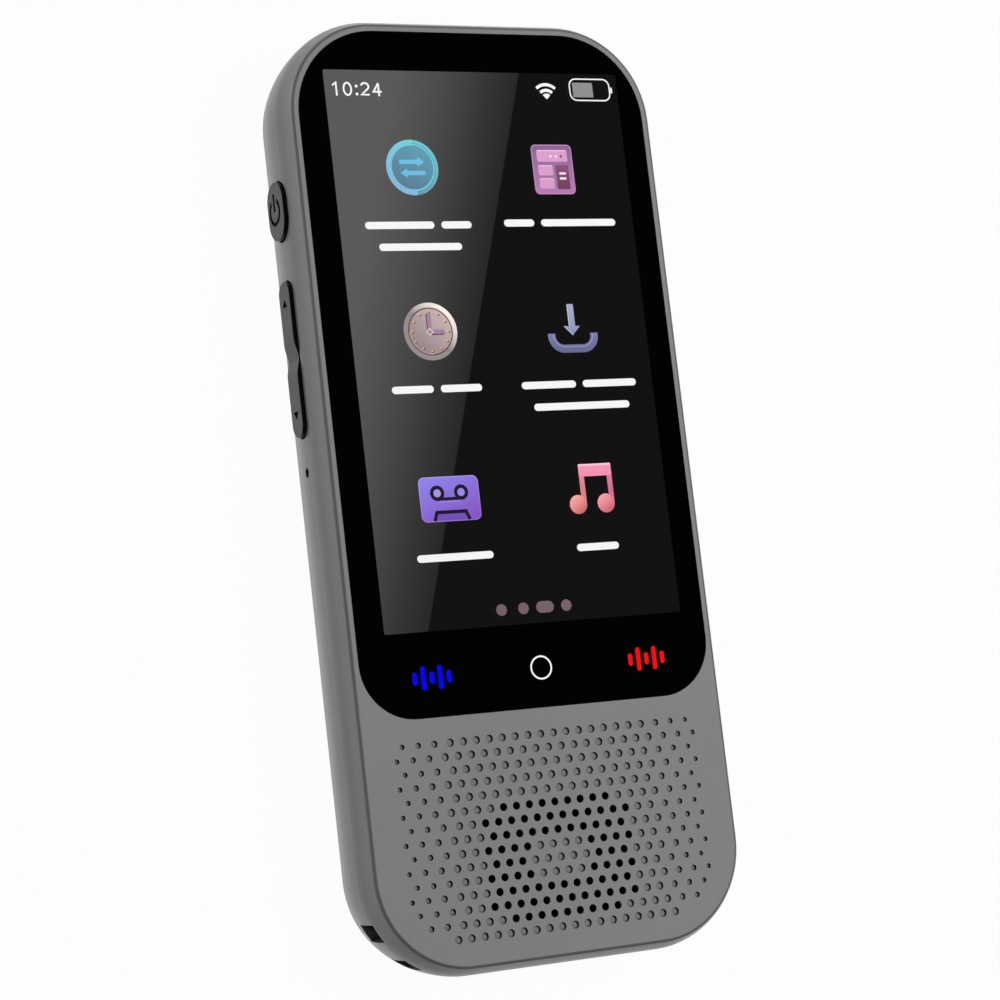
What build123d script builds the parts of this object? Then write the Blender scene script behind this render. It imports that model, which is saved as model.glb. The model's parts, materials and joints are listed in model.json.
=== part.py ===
from build123d import *
import math
import os

# Handheld translator, lying on its back: +Z leaves the screen, +Y runs to the top end,
# X runs across it. The origin is the centre of the flat back. Sizes are in millimetres.

# Body
body_width = 58.8
body_length = 135.2
body_thickness = 14.6
corner_radius = 14.5
front_edge_radius = 0.65  # tight round where the face turns into the sides
front_barrel_radius = 6.8  # bulge from that round out to the widest line
barrel_start_angle = 30.0  # degrees above level where those two rounds meet
rear_barrel_radius = 28.0  # slow taper from the widest line to the rear edge
rear_edge_radius = 4.0  # round between the sides and the flat back
wall = 2.0
fit_gap = 0.1  # between rigid pieces that are fitted together
cut_reach = 1.0  # how far a cut runs past the outer face it goes through

# Cover glass and display
face_margin = 0.63  # flat rim of the face between its edge and the glass
chin_length = 35.6  # from the glass's lower end to the body's bottom end
glass_top_radius = 12.5
glass_bottom_radius = 7.9
glass_thickness = 0.8
adhesive_thickness = 0.15
adhesive_width = 1.5
ledge_thickness = 1.0
panel_side = 3.0  # from the glass's sides in to the panel
panel_drop = 4.9  # from the glass's top end down to the panel
panel_foot = 9.1  # from the glass's lower end up to the panel
panel_thickness = 1.0
backlight_thickness = 1.4
panel_gap = 0.3
tray_gap = 0.1
tray_thickness = 1.0
tray_end_wall = 0.9

# Touch keys under the glass
touch_key_drop = 3.6  # from the panel's lower end down to the row of keys
touch_key_spacing = 17.0
guide_width = 7.0
guide_height = 4.0
guide_thickness = 0.65
key_light_size = (1.6, 0.8, 0.4)
key_flex_thickness = 0.3
key_flex_margin = 0.5  # how far the flex runs past the outer guides

# Speaker grille
grille_drop = 3.7  # from the glass's lower end down to the first row
grille_pitch_x = 2.0
grille_pitch_y = 1.915
grille_outer_pitch = 2.42  # the last three holes at each end of a row spread out
grille_foot = 4.9  # least room from the last row to the body's bottom end
grille_side = 4.5  # least room from the outermost hole to the face's edge
grille_hole = 1.13
grille_outer_holes = (0.98, 0.85, 0.72)
dimple_depth = 0.3
rows_below_speaker = 5  # rows below the one at the middle of the through holes

# Side keys
side_line = 8.4  # height of the keys, switches and microphone
key_proud = 0.56
key_gap = 0.2
key_edge_radius = 0.18
key_seat_gap = 0.05
power_drop = 26.8  # from the body's top end down to the power key's middle
power_length = 8.4
power_width = 5.8
power_rise = 0.25  # from the side line up to the middle of the power key's face
volume_drop = 47.9
volume_length = 22.2
volume_width = 3.9
volume_dip_length = 5.6
volume_dip_depth = 0.46
pad_offset = 7.0  # from the rocker's middle to each switch
mark_depth = 0.3
power_mark_radius = 2.0
power_mark_width = 0.6
power_bar_length = 2.6
volume_mark_offset = 8.0
volume_mark_length = 1.15
volume_mark_width = 1.65
flange_thickness = 0.6
flange_height = 3.4
flange_overhang = 0.7
rocker_float = 0.45  # room in front of the rocker's flange, so that it can tilt
nub_width = 1.2
switch_size = (1.0, 3.4, 3.0)
switch_face = 1.8  # from the case's inner wall to the front of the switches
plunger_size = (1.5, 1.2)
plunger_reach = 0.4
plunger_depth = 0.45
plunger_gap = 0.05
switch_travel = 0.25
side_flex_thickness = 0.2
bracket_thickness = 0.8
bracket_top_reach = 6.4  # from the power key's middle up to the bracket's end
bracket_low_reach = 3.64  # from the microphone's middle down to the bracket's end
bracket_hook = 1.0  # how far each end of the bracket reaches into its rib
rib_width = 2.4

# Side microphone
microphone_drop = 63.96
microphone_hole = 1.4
microphone_size = (1.0, 3.5, 2.65)
boot_size = (4.4, 3.8)
boot_hole = 1.0

# Lanyard windows in the lower left corner
lanyard_level = 8.85
lanyard_angles = (30.5, 57.0)  # each window's turn from the left side to the bottom end
lanyard_window_width = 2.9
lanyard_window_height = 5.1
lanyard_bar = 1.5
lanyard_channel = 2.6
lanyard_inner_wall = 1.1
lanyard_end_angle = 25.0
lanyard_block_end_angle = 18.0
lanyard_block_base = 4.9

# Screws
cover_screw_radius = 1.0
cover_screw_head = (1.9, 1.0)
cover_screw_length = 7.3
cover_screw_sink = 0.2
board_screw_radius = 0.8
board_screw_head = (1.5, 0.8)
board_screw_length = 3.4
screw_gap = 0.05
head_gap = 0.2
cover_post_radius = 3.0
cover_post_base = 3.0
board_post_radius = 2.2
upper_post_side = 6.2  # from the case's inner side wall
upper_post_drop = 7.4  # from its inner top wall
lower_post_side = 5.4
lower_post_rise = 21.6  # from its inner bottom wall

# Back cover
cover_thickness = 1.5
cover_rim_wall = 1.0
cover_lip_height = 1.2
cover_rib_width = 1.0
cover_rib_height = 2.9
cover_rib_offset = 12.0
cover_rib_side = 11.4  # from the case's inner side wall to the first rib

# Camera window on the back
window_drop = 15.1  # from the body's top end down to the window's middle
window_side = 20.9  # from the body's right side
window_length = 19.0
window_height = 9.6
window_thickness = 0.8
window_sink = 0.1
camera_offset = 4.5
camera_size = 8.5
camera_height = 2.9
lens_radius = 3.2
lens_gap = 0.2
flash_offset = -5.0
flash_radius = 1.7
flash_size = 3.0
flash_height = 0.8

# Boards
board_thickness = 1.0
main_board_drop = 2.0  # from the tray down to the board
main_board_length = 52.5
main_board_gap = 2.1  # to the case's top wall
board_rib_gap = 0.5  # to the bracket's ribs on the left
board_side_gap = 1.8  # to the case's right wall
main_board_radius = 9.0
board_screw_inset = 4.2  # from the board's edges to its lower screws
board_top_screw_x = -9.0
board_top_screw_drop = 3.5
connector_height = 0.6
shield_wall = 0.25
shield_height = 2.2
processor_shield_inset = 5.3  # from the board's left edge
processor_shield_rise = 11.0  # from the board's lower edge
processor_shield_length = 21.0
radio_shield_inset = 1.6  # from the board's right edge
radio_shield_rise = 15.0
radio_shield_width = 15.0
shield_spacing = 4.0  # between the two shields
camera_shield_gap = 4.25
bottom_board_width = 40.0
bottom_board_length = 14.0
bottom_board_gap = 1.6  # to the case's bottom wall
bottom_board_thickness = 0.8
bottom_board_radius = 4.0
bottom_post_inset = 2.5  # from the board's sides
bottom_post_rise = 5.5  # from its lower edge

# Battery
battery_side = 6.9  # to the case's inner side walls
battery_gap = 0.9  # to the speaker's frame
guard_gap = 0.6  # from its protection board to the main board
battery_thickness = 5.2
battery_radius = 1.5
tape_thickness = 0.2
protection_board = (14.0, 2.4, 3.5)

# Flexes inside and the sockets they end in
flex_thickness = 0.2
socket_width = 2.4
display_flex_width = 15.0
display_flex_drop = 4.8  # from the panel's top end to where its flex passes the tray
battery_flex_x = 0.0
battery_flex_width = 5.0
link_flex_x = 12.0
link_flex_width = 9.0

# USB-C socket in the bottom end
usb_level = 6.0
usb_width = 8.94
usb_height = 3.26
usb_length = 7.35
usb_shell = 0.3
usb_sink = 0.7
usb_gap = 0.18
usb_base_length = 1.6
tongue_width = 6.69
tongue_thickness = 0.7
tongue_length = 4.45

# Speaker
mesh_thickness = 0.15
gasket_thickness = 0.5
gasket_width = 1.2
speaker_width = 28.0
speaker_height = 22.0
speaker_depth = 4.1
speaker_radius = 3.0
speaker_floor = 0.7
speaker_rim = 0.5
speaker_rib = 0.8
speaker_rib_base = 9.0
speaker_rib_gap = 0.15
yoke_radius = 6.9
yoke_wall = 0.7
yoke_floor = 0.7
yoke_height = 2.6
magnet_radius = 4.9
magnet_height = 1.4
pole_radius = 5.1
pole_height = 0.6
coil_radius = 5.4
coil_wall = 0.5
coil_drop = 1.7
cone_radius = 8.0
cone_thickness = 0.25
cone_rise = 0.45
surround_radius = 10.2
surround_seat_radius = 9.3
surround_level = 3.25  # above the basket's underside
surround_roll = 0.8
contact_size = (1.2, 2.0)
contact_spacing = 9.0

# Antenna
antenna_width = 24.0
antenna_height = 4.0
antenna_thickness = 0.4

# Levels, from the face down
glass_under = body_thickness - glass_thickness
ledge_top = glass_under - adhesive_thickness
plate_under = ledge_top - ledge_thickness
panel_under = glass_under - panel_thickness
backlight_under = panel_under - backlight_thickness
tray_top = backlight_under - tray_gap
tray_under = tray_top - tray_thickness
main_board_top = tray_under - main_board_drop
main_board_under = main_board_top - board_thickness
bottom_board_top = usb_level - usb_height / 2
bottom_board_under = bottom_board_top - bottom_board_thickness

# Places that follow from the sizes above
half_width = body_width / 2
half_length = body_length / 2
start_cos = math.cos(math.radians(barrel_start_angle))
start_sin = math.sin(math.radians(barrel_start_angle))
widest_level = body_thickness - front_edge_radius * (1 - start_sin) - front_barrel_radius * start_sin
face_inset = front_barrel_radius * (1 - start_cos) + front_edge_radius * start_cos
rear_rise = widest_level - rear_edge_radius
rear_reach = rear_barrel_radius - rear_edge_radius
rear_inset = rear_barrel_radius - math.sqrt(rear_reach**2 - rear_rise**2)
parting_level = widest_level - rear_barrel_radius * rear_rise / rear_reach
glass_width = 2 * (half_width - face_inset - face_margin)
glass_top = half_length - face_inset - face_margin
glass_bottom = chin_length - half_length
glass_length = glass_top - glass_bottom
glass_y = (glass_top + glass_bottom) / 2
panel_width = glass_width - 2 * panel_side
panel_top = glass_top - panel_drop
panel_bottom = glass_bottom + panel_foot
panel_length = panel_top - panel_bottom
panel_y = (panel_top + panel_bottom) / 2
key_bay_top = panel_bottom - panel_gap - tray_end_wall
touch_key_y = panel_bottom - touch_key_drop
key_flex_width = 2 * touch_key_spacing + guide_width + 2 * key_flex_margin
grille_top = glass_bottom - grille_drop
grille_rows = 1 + int((chin_length - grille_drop - grille_foot) / grille_pitch_y)
outer_reach = len(grille_outer_holes) * grille_outer_pitch
grille_reach = half_width - face_inset - grille_side - outer_reach
grille_columns = 1 + int(grille_reach / grille_pitch_x)  # evenly spaced, from the middle out
sound_row = grille_rows - 1 - rows_below_speaker
speaker_y = grille_top - sound_row * grille_pitch_y
inner_x = half_width - wall
inner_y = half_length - wall
power_y = half_length - power_drop
volume_y = half_length - volume_drop
microphone_y = half_length - microphone_drop
bracket_low_y = microphone_y - bracket_low_reach
bracket_high_y = power_y + bracket_top_reach
corner_x = half_width - corner_radius
corner_y = half_length - corner_radius
switch_x = -inner_x + switch_face
flex_x = switch_x + switch_size[0]
bracket_x = flex_x + side_flex_thickness
key_window_end = switch_x - plunger_reach
upper_post = (inner_x - upper_post_side, inner_y - upper_post_drop)
lower_post = (inner_x - lower_post_side, lower_post_rise - inner_y)
bracket_middle_x = bracket_x + bracket_thickness / 2
main_board_low_x = bracket_middle_x + rib_width / 2 + board_rib_gap
main_board_high_x = inner_x - board_side_gap
main_board_high_y = inner_y - main_board_gap
main_board_low_y = main_board_high_y - main_board_length
main_board_screws = (
    (main_board_low_x + board_screw_inset, main_board_low_y + board_screw_inset),
    (main_board_high_x - board_screw_inset, main_board_low_y + board_screw_inset),
    (board_top_screw_x, main_board_high_y - board_top_screw_drop),
)
bottom_board_low_y = bottom_board_gap - inner_y
bottom_board_high_y = bottom_board_low_y + bottom_board_length
bottom_post = (bottom_board_width / 2 - bottom_post_inset, bottom_board_low_y + bottom_post_rise)
battery_width = 2 * (inner_x - battery_side)
battery_low_y = speaker_y + speaker_height / 2 + speaker_rib_gap + speaker_rib + battery_gap
battery_high_y = main_board_low_y - guard_gap - protection_board[1]
window_x = half_width - window_side
window_y = half_length - window_drop
camera_x = window_x + camera_offset
flash_x = window_x + flash_offset
window_inner = window_sink + window_thickness


def block(x, y, z):
    """A box from the lowest to the highest x, y and z."""
    size = [high - low for low, high in (x, y, z)]
    middle = [(high + low) / 2 for low, high in (x, y, z)]
    return Pos(*middle) * Box(*size)


def about(centre, size):
    """The low and high ends of a size about its centre."""
    return (centre - size / 2, centre + size / 2)


def slab(outline, low, high):
    """An outline in the XY plane, raised between two levels."""
    return Pos(0, 0, low) * extrude(outline, high - low)


def rod(x, y, radius, low, high):
    """An upright cylinder between two levels."""
    return Pos(x, y, (low + high) / 2) * Cylinder(radius, high - low)


def ring(outer, inner, low, high, x=0.0, y=0.0):
    """An upright ring between two levels."""
    return rod(x, y, outer, low, high) - rod(x, y, inner, low, high)


def group(solids):
    """Separate solids of one sub-part, kept apart in one node."""
    return Compound(children=list(solids))


def side_prism(outline, low_x, high_x, y, z=side_line):
    """An outline drawn along the body's length and height, raised along X."""
    face = Plane(origin=(low_x, y, z), x_dir=(0, 1, 0), z_dir=(1, 0, 0)) * outline
    return extrude(face, high_x - low_x)


def end_prism(outline, low_y, high_y, x, z):
    """An outline drawn along the body's width and height, raised along Y."""
    face = Plane(origin=(x, low_y, z), x_dir=(-1, 0, 0), z_dir=(0, 1, 0)) * outline
    return extrude(face, high_y - low_y)


def strip(path, width, x):
    """A thin flex that follows a path of (y, level) points along the body."""
    upper = [(y, z + flex_thickness) for y, z in reversed(path)]
    outline = make_face(Polyline(*path, *upper, close=True))
    face = Plane(origin=(x - width / 2, 0, 0), x_dir=(0, 1, 0), z_dir=(1, 0, 0)) * outline
    return extrude(face, width)


def wedge(angle, end_angle, low, high):
    """A slice of the lower left corner between two angles, measured from the left side."""
    reach = 2 * corner_radius
    points = [(0, 0)]
    for turn in (angle, end_angle):
        direction = math.radians(turn)
        points.append((-reach * math.cos(direction), -reach * math.sin(direction)))
    outline = make_face(Polyline(*points, close=True))
    return Pos(-corner_x, -corner_y, 0) * slab(outline, low, high)


def screw(x, y, base, head, radius, length):
    """A screw with its cross-slotted head at the bottom and its shank upwards."""
    head_radius, head_height = head
    body = rod(x, y, head_radius, base, base + head_height)
    body += rod(x, y, radius, base + head_height, base + head_height + length)
    slot = head_radius * 1.2
    for across, along in ((slot, slot / 4), (slot / 4, slot)):
        body -= block(about(x, across), about(y, along), (base, base + head_height / 2))
    return body


def edge_profile():
    """Half section of the body from a corner's axis out to its side."""
    rear_angle = math.degrees(math.asin(rear_rise / rear_reach))
    face_edge = corner_radius - face_inset
    back_edge = corner_radius - rear_inset
    rear_round = CenterArc((back_edge, rear_edge_radius), rear_edge_radius, -90, 90 - rear_angle)
    rear_barrel = CenterArc(
        (corner_radius - rear_barrel_radius, widest_level), rear_barrel_radius, -rear_angle, rear_angle
    )
    front_barrel = CenterArc(
        (corner_radius - front_barrel_radius, widest_level), front_barrel_radius, 0, barrel_start_angle
    )
    front_round = CenterArc(
        (face_edge, body_thickness - front_edge_radius),
        front_edge_radius,
        barrel_start_angle,
        90 - barrel_start_angle,
    )
    closing = Polyline(
        front_round @ 1, (0, body_thickness), (0, 0), rear_round @ 0
    )
    return Plane.XZ * make_face([rear_round, rear_barrel, front_barrel, front_round, *closing.edges()])


def make_body():
    """The whole body as one solid: four corners, four sides and the middle."""
    profile = edge_profile()
    corner = revolve(profile, Axis.Z, 90)
    span_x, span_y = 2 * corner_x, 2 * corner_y
    long_side = extrude(profile, span_y / 2, both=True)
    short_side = extrude(profile, span_x / 2, both=True)
    body = block((-corner_x, corner_x), (-corner_y, corner_y), (0, body_thickness))
    for turn, x, y in ((0, 1, 1), (90, -1, 1), (180, -1, -1), (270, 1, -1)):
        body += Pos(x * corner_x, y * corner_y, 0) * Rot(0, 0, turn) * corner
    for turn, side, offset in (
        (0, long_side, (corner_x, 0, 0)),
        (90, short_side, (0, corner_y, 0)),
        (180, long_side, (-corner_x, 0, 0)),
        (270, short_side, (0, -corner_y, 0)),
    ):
        body += Pos(*offset) * Rot(0, 0, turn) * side
    return body


def inner_outline(inset=0.0):
    """The case's inner outline, drawn in by an inset."""
    width, length = 2 * (inner_x - inset), 2 * (inner_y - inset)
    return RectangleRounded(width, length, corner_radius - wall - inset)


def glass_outline(growth=0.0):
    """The glass's outline, with rounder corners at its top end than at its bottom."""
    outline = Rectangle(glass_width + 2 * growth, glass_length + 2 * growth)
    outline = fillet(outline.vertices().group_by(Axis.Y)[-1], glass_top_radius + growth)
    outline = fillet(outline.vertices().group_by(Axis.Y)[0], glass_bottom_radius + growth)
    return Pos(0, glass_y) * outline


def panel_outline(growth=0.0):
    """The display panel's outline."""
    return Pos(0, panel_y) * Rectangle(panel_width + 2 * growth, panel_length + 2 * growth)


def touch_key_places():
    """The middle of each touch key."""
    return [(column * touch_key_spacing, touch_key_y) for column in (-1, 0, 1)]


def grille_holes():
    """Each grille hole as (x, y, diameter, whether it goes through)."""
    holes = []
    for row in range(grille_rows):
        y = grille_top - row * grille_pitch_y
        last_row = row == grille_rows - 1
        start = 0.5 if row % 2 == 0 else 0.0
        column_count = grille_columns if last_row or start == 0.0 else grille_columns - 1
        columns = [start + step for step in range(column_count)]
        places = [(column, column * grille_pitch_x, grille_hole) for column in columns]
        outer = () if last_row else grille_outer_holes
        if row == grille_rows - 2:
            outer = grille_outer_holes[:-1]
        for step, diameter in enumerate(outer, start=1):
            places.append((None, columns[-1] * grille_pitch_x + step * grille_outer_pitch, diameter))
        for column, x, diameter in places:
            through = column is not None and opens_through(row, column)
            sides = (x,) if x == 0 else (x, -x)
            holes += [(side, y, diameter, through) for side in sides]
    return holes


def opens_through(row, column):
    """Whether a grille hole lies over the speaker's open ring."""
    distance = abs(row - sound_row)
    if distance > 4:
        return False
    if distance == 4:
        return column <= 4
    return column <= 5.5 and not (distance <= 1 and column < 2.5)


def key_outline(length, width, growth=0.0):
    """A key's stadium outline, long side along the body."""
    return SlotOverall(length + 2 * growth, width + 2 * growth)


def make_front_case(body):
    case = body & block(
        about(0, 2 * body_width), about(0, 2 * body_length), (parting_level, body_thickness)
    )
    case -= slab(inner_outline(), 0, tray_under)
    key_bay = block((-inner_x, inner_x), (-inner_y, key_bay_top), (tray_under, plate_under))
    case -= slab(inner_outline(), tray_under, plate_under) & key_bay
    case -= slab(glass_outline(fit_gap), ledge_top, body_thickness)
    case -= slab(panel_outline(panel_gap), tray_top, ledge_top)

    # Posts, bosses and ribs inside
    for x, y in cover_post_places():
        ceiling = tray_under if y > 0 else plate_under
        case += ring(cover_post_radius, cover_screw_radius + screw_gap, cover_post_base, ceiling, x, y)
    for x, y in main_board_screws:
        case += ring(board_post_radius, board_screw_radius + screw_gap, main_board_top, tray_under, x, y)
    for side in (-1, 1):
        x, y = side * bottom_post[0], bottom_post[1]
        case += ring(
            board_post_radius, board_screw_radius + screw_gap, bottom_board_top, plate_under, x, y
        )
    rib_inner = (speaker_width + 2 * speaker_rib_gap, speaker_height + 2 * speaker_rib_gap)
    rib_outer = [size + 2 * speaker_rib for size in rib_inner]
    frame = RectangleRounded(*rib_outer, speaker_radius + speaker_rib)
    frame -= RectangleRounded(*rib_inner, speaker_radius)
    case += slab(Pos(0, speaker_y) * frame, speaker_rib_base, plate_under)
    bracket_slot = about(bracket_middle_x, bracket_thickness + 2 * screw_gap)
    rib_x = about(bracket_middle_x, rib_width)
    bracket_z = (side_line - flange_height / 2, tray_under)
    for end, outward in ((bracket_low_y, -1), (bracket_high_y, 1)):
        far, near = end + outward * bracket_hook, end - outward * bracket_hook
        case += block(rib_x, sorted((near, far)), bracket_z)
        case -= block(bracket_slot, sorted((near, end + outward * screw_gap)), bracket_z)

    # Lanyard bar: a curved channel behind the corner wall, with two windows into it
    channel_outer = corner_radius - lanyard_bar
    channel_inner = channel_outer - lanyard_channel
    block_inner = channel_inner - lanyard_inner_wall
    centre = {"x": -corner_x, "y": -corner_y}
    block_outer = corner_radius - wall + fit_gap
    corner_block = ring(block_outer, block_inner, lanyard_block_base, plate_under, **centre)
    case += corner_block & wedge(
        lanyard_block_end_angle, 90 - lanyard_block_end_angle, lanyard_block_base, plate_under
    )
    window_z = about(lanyard_level, lanyard_window_height)
    channel = ring(channel_outer, channel_inner, *window_z, **centre)
    case -= channel & wedge(lanyard_end_angle, 90 - lanyard_end_angle, *window_z)
    for angle in lanyard_angles:
        window = block(
            (-corner_radius - wall, -channel_outer + lanyard_bar / 2),
            about(0, lanyard_window_width),
            window_z,
        )
        case -= Pos(-corner_x, -corner_y, 0) * Rot(0, 0, angle) * window

    # Openings: side keys, microphone, USB socket, light guides, display flex
    outside = -half_width - cut_reach
    for y, length, width, rise in (
        (power_y, power_length, power_width, power_rise),
        (volume_y, volume_length, volume_width, 0),
    ):
        window = key_outline(length, width, key_gap)
        case -= side_prism(window, outside, key_window_end, y, side_line + rise)
    case -= side_prism(Circle(microphone_hole / 2), outside, -inner_x, microphone_y)
    usb_mouth = SlotOverall(usb_width + 2 * usb_gap, usb_height + 2 * usb_gap)
    case -= end_prism(usb_mouth, -half_length - cut_reach, -inner_y, 0, usb_level)
    guide_hole = RectangleRounded(guide_width + fit_gap, guide_height + fit_gap, guide_height / 4)
    for x, y in touch_key_places():
        case -= slab(Pos(x, y) * guide_hole, plate_under, ledge_top)
    case -= block(*display_flex_slot(panel_gap), (tray_under, tray_top))

    # Grille: deep holes over the speaker, shallow ones elsewhere
    depths = {True: plate_under, False: body_thickness - dimple_depth}
    holes = [rod(x, y, size / 2, depths[through], body_thickness) for x, y, size, through in grille_holes()]
    return case - holes


def display_flex_slot(growth=0.0):
    """Where the display's flex passes the tray, along X and along Y."""
    flex_y = panel_top - display_flex_drop
    return about(0, display_flex_width + 2 * growth), about(flex_y, flex_thickness + 2 * growth)


def cover_post_places():
    """The four screw posts of the back cover."""
    return [(side * x, y) for x, y in (upper_post, lower_post) for side in (-1, 1)]


def make_back_cover(body):
    cover = body & block(about(0, 2 * body_width), about(0, 2 * body_length), (0, parting_level))
    lip_top = parting_level + cover_lip_height
    lip = slab(inner_outline(fit_gap), parting_level, lip_top)
    cover += lip
    cover -= slab(inner_outline(cover_rim_wall), cover_thickness, lip_top)
    head_radius, head_height = cover_screw_head
    head_top = cover_screw_sink + head_height
    for x, y in cover_post_places():
        cover += rod(x, y, cover_post_radius, cover_thickness, cover_post_base)
        cover -= rod(x, y, head_radius + head_gap, 0, head_top)
        cover -= rod(x, y, cover_screw_radius + head_gap, head_top, cover_post_base)
    rib_y = (battery_low_y + cover_rib_height, battery_high_y)
    first_rib = cover_rib_side - inner_x
    for x in (first_rib, first_rib + cover_rib_offset):
        cover += block(
            about(x, cover_rib_width), rib_y, (cover_thickness, cover_thickness + cover_rib_height)
        )
    window = SlotOverall(window_length + 2 * fit_gap, window_height + 2 * fit_gap)
    cover -= slab(Pos(window_x, window_y) * window, 0, window_inner)
    cover -= rod(camera_x, window_y, lens_radius + lens_gap, window_inner, cover_thickness)
    cover -= rod(flash_x, window_y, flash_radius + lens_gap, window_inner, cover_thickness)
    return cover


def make_display():
    frame_opening = glass_outline(-adhesive_width)
    frame_opening -= Pos(0, key_bay_top - glass_length / 2) * Rectangle(glass_width, glass_length)
    adhesive_outline = glass_outline() - frame_opening - panel_outline(panel_gap)
    adhesive = slab(adhesive_outline, ledge_top, glass_under)
    guide_hole = RectangleRounded(guide_width + fit_gap, guide_height + fit_gap, guide_height / 4)
    guide = RectangleRounded(guide_width, guide_height, guide_height / 4)
    guides, lights = [], []
    light_x, light_y, light_z = key_light_size
    for x, y in touch_key_places():
        adhesive -= slab(Pos(x, y) * guide_hole, ledge_top, glass_under)
        guides.append(slab(Pos(x, y) * guide, glass_under - guide_thickness, glass_under))
        lights.append(block(about(x, light_x), about(y, light_y), (plate_under, plate_under + light_z)))
    backlight = slab(panel_outline(), backlight_under, panel_under)
    flex_levels = (main_board_top + connector_height, backlight_under)
    key_flex_y = (touch_key_y - guide_height, key_bay_top - fit_gap)
    return {
        "cover_glass": slab(glass_outline(), glass_under, body_thickness),
        "glass_adhesive": adhesive,
        "display_panel": slab(panel_outline(), panel_under, glass_under),
        "display_backlight": backlight,
        "display_flex": block(*display_flex_slot(), flex_levels),
        "light_guides": group(guides),
        "key_lights": group(lights),
        "touch_key_flex": block(
            about(0, key_flex_width), key_flex_y, (plate_under - key_flex_thickness, plate_under)
        ),
    }


def power_mark():
    """The power key's mark: an open ring with a bar in its gap."""
    arc = Circle(power_mark_radius) - Circle(power_mark_radius - power_mark_width)
    arc -= Pos(power_mark_radius, 0) * Rectangle(power_mark_radius, 3 * power_mark_width)
    bar = Pos(power_bar_length / 2, 0) * Rectangle(power_bar_length, power_mark_width)
    return arc + bar


def volume_mark(direction):
    """A small triangle that points towards the rocker's end."""
    tip, side = direction * volume_mark_length / 2, volume_mark_width / 2
    points = [(tip, 0), (-tip, side), (-tip, -side)]
    return Pos(direction * volume_mark_offset, 0) * make_face(Polyline(*points, close=True))


def key_body(length, width, seat, rise=0.0):
    """The key's stem from its proud face in to its flange, with a softened outer edge."""
    face = -half_width - key_proud
    stem = side_prism(key_outline(length, width), face, seat, 0, side_line + rise)
    return fillet(stem.edges().group_by(Axis.X)[0], key_edge_radius)


def flange(length, front):
    """The plate behind the wall that holds a key in."""
    plate_length = length + 2 * flange_overhang
    return block(
        (front, front + flange_thickness), about(0, plate_length), about(side_line, flange_height)
    )


def nub(y, back):
    """A pad on the back of a key, just clear of a switch plunger."""
    tip = switch_x - plunger_reach - plunger_gap
    return block((back, tip), about(y, nub_width), about(side_line, nub_width))


def make_power_button():
    front = -inner_x + key_seat_gap
    key = key_body(power_length, power_width, front, power_rise) + flange(power_length, front)
    key += nub(0, front + flange_thickness)
    face = -half_width - key_proud
    key -= side_prism(power_mark(), face, face + mark_depth, 0)
    return Pos(0, power_y, 0) * key


def make_volume_rocker():
    front = -inner_x + rocker_float
    back = front + flange_thickness
    face = -half_width - key_proud
    key = key_body(volume_length, volume_width, front)
    half = volume_dip_length / 2
    dip = Spline(
        [(face, -half), (face + volume_dip_depth, 0), (face, half)], tangents=[(0, 1), (0, 1)]
    )
    outer = face - cut_reach
    closing = Polyline(dip @ 1, (outer, half), (outer, -half), dip @ 0)
    dip_tool = make_face([dip, *closing.edges()])
    key -= slab(dip_tool, side_line - volume_width, side_line + volume_width)
    key += flange(volume_length, front)
    key += nub(pad_offset, back) + nub(-pad_offset, back)
    fulcrum = block((back, flex_x - plunger_gap), about(0, nub_width), about(side_line, nub_width))
    key += fulcrum
    for direction in (-1, 1):
        key -= side_prism(volume_mark(direction), face, face + mark_depth, 0)
    return Pos(0, volume_y, 0) * key


def make_side_switches():
    depth, length, height = switch_size
    well = (plunger_size[0] + 2 * plunger_gap, plunger_size[1] + 2 * plunger_gap)
    well_depth = plunger_depth + switch_travel + plunger_gap
    places = {
        "power_plunger": power_y,
        "volume_up_plunger": volume_y + pad_offset,
        "volume_down_plunger": volume_y - pad_offset,
    }
    pieces, bodies = {}, []
    for name, y in places.items():
        shell = block((switch_x, flex_x), about(y, length), about(side_line, height))
        shell -= block((switch_x, switch_x + well_depth), about(y, well[0]), about(side_line, well[1]))
        bodies.append(shell)
        pieces[name] = block(
            (switch_x - plunger_reach, switch_x + plunger_depth),
            about(y, plunger_size[0]),
            about(side_line, plunger_size[1]),
        )
    pieces["side_switches"] = group(bodies)
    inner_ends = (bracket_low_y + screw_gap, bracket_high_y - screw_gap)
    flex_ends = (bracket_low_y + bracket_hook, bracket_high_y - bracket_hook)
    bracket_z = (side_line - flange_height / 2, tray_under)
    pieces["side_key_flex"] = block((flex_x, bracket_x), flex_ends, about(side_line, flange_height))
    pieces["side_key_bracket"] = block((bracket_x, bracket_x + bracket_thickness), inner_ends, bracket_z)
    return pieces


def make_microphone():
    depth, length, height = microphone_size
    boot = block((-inner_x, switch_x), about(microphone_y, boot_size[0]), about(side_line, boot_size[1]))
    return {
        "side_microphone": block(
            (flex_x - depth, flex_x), about(microphone_y, length), about(side_line, height)
        ),
        "microphone_boot": boot - side_prism(Circle(boot_hole / 2), -inner_x, switch_x, microphone_y),
    }


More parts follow.
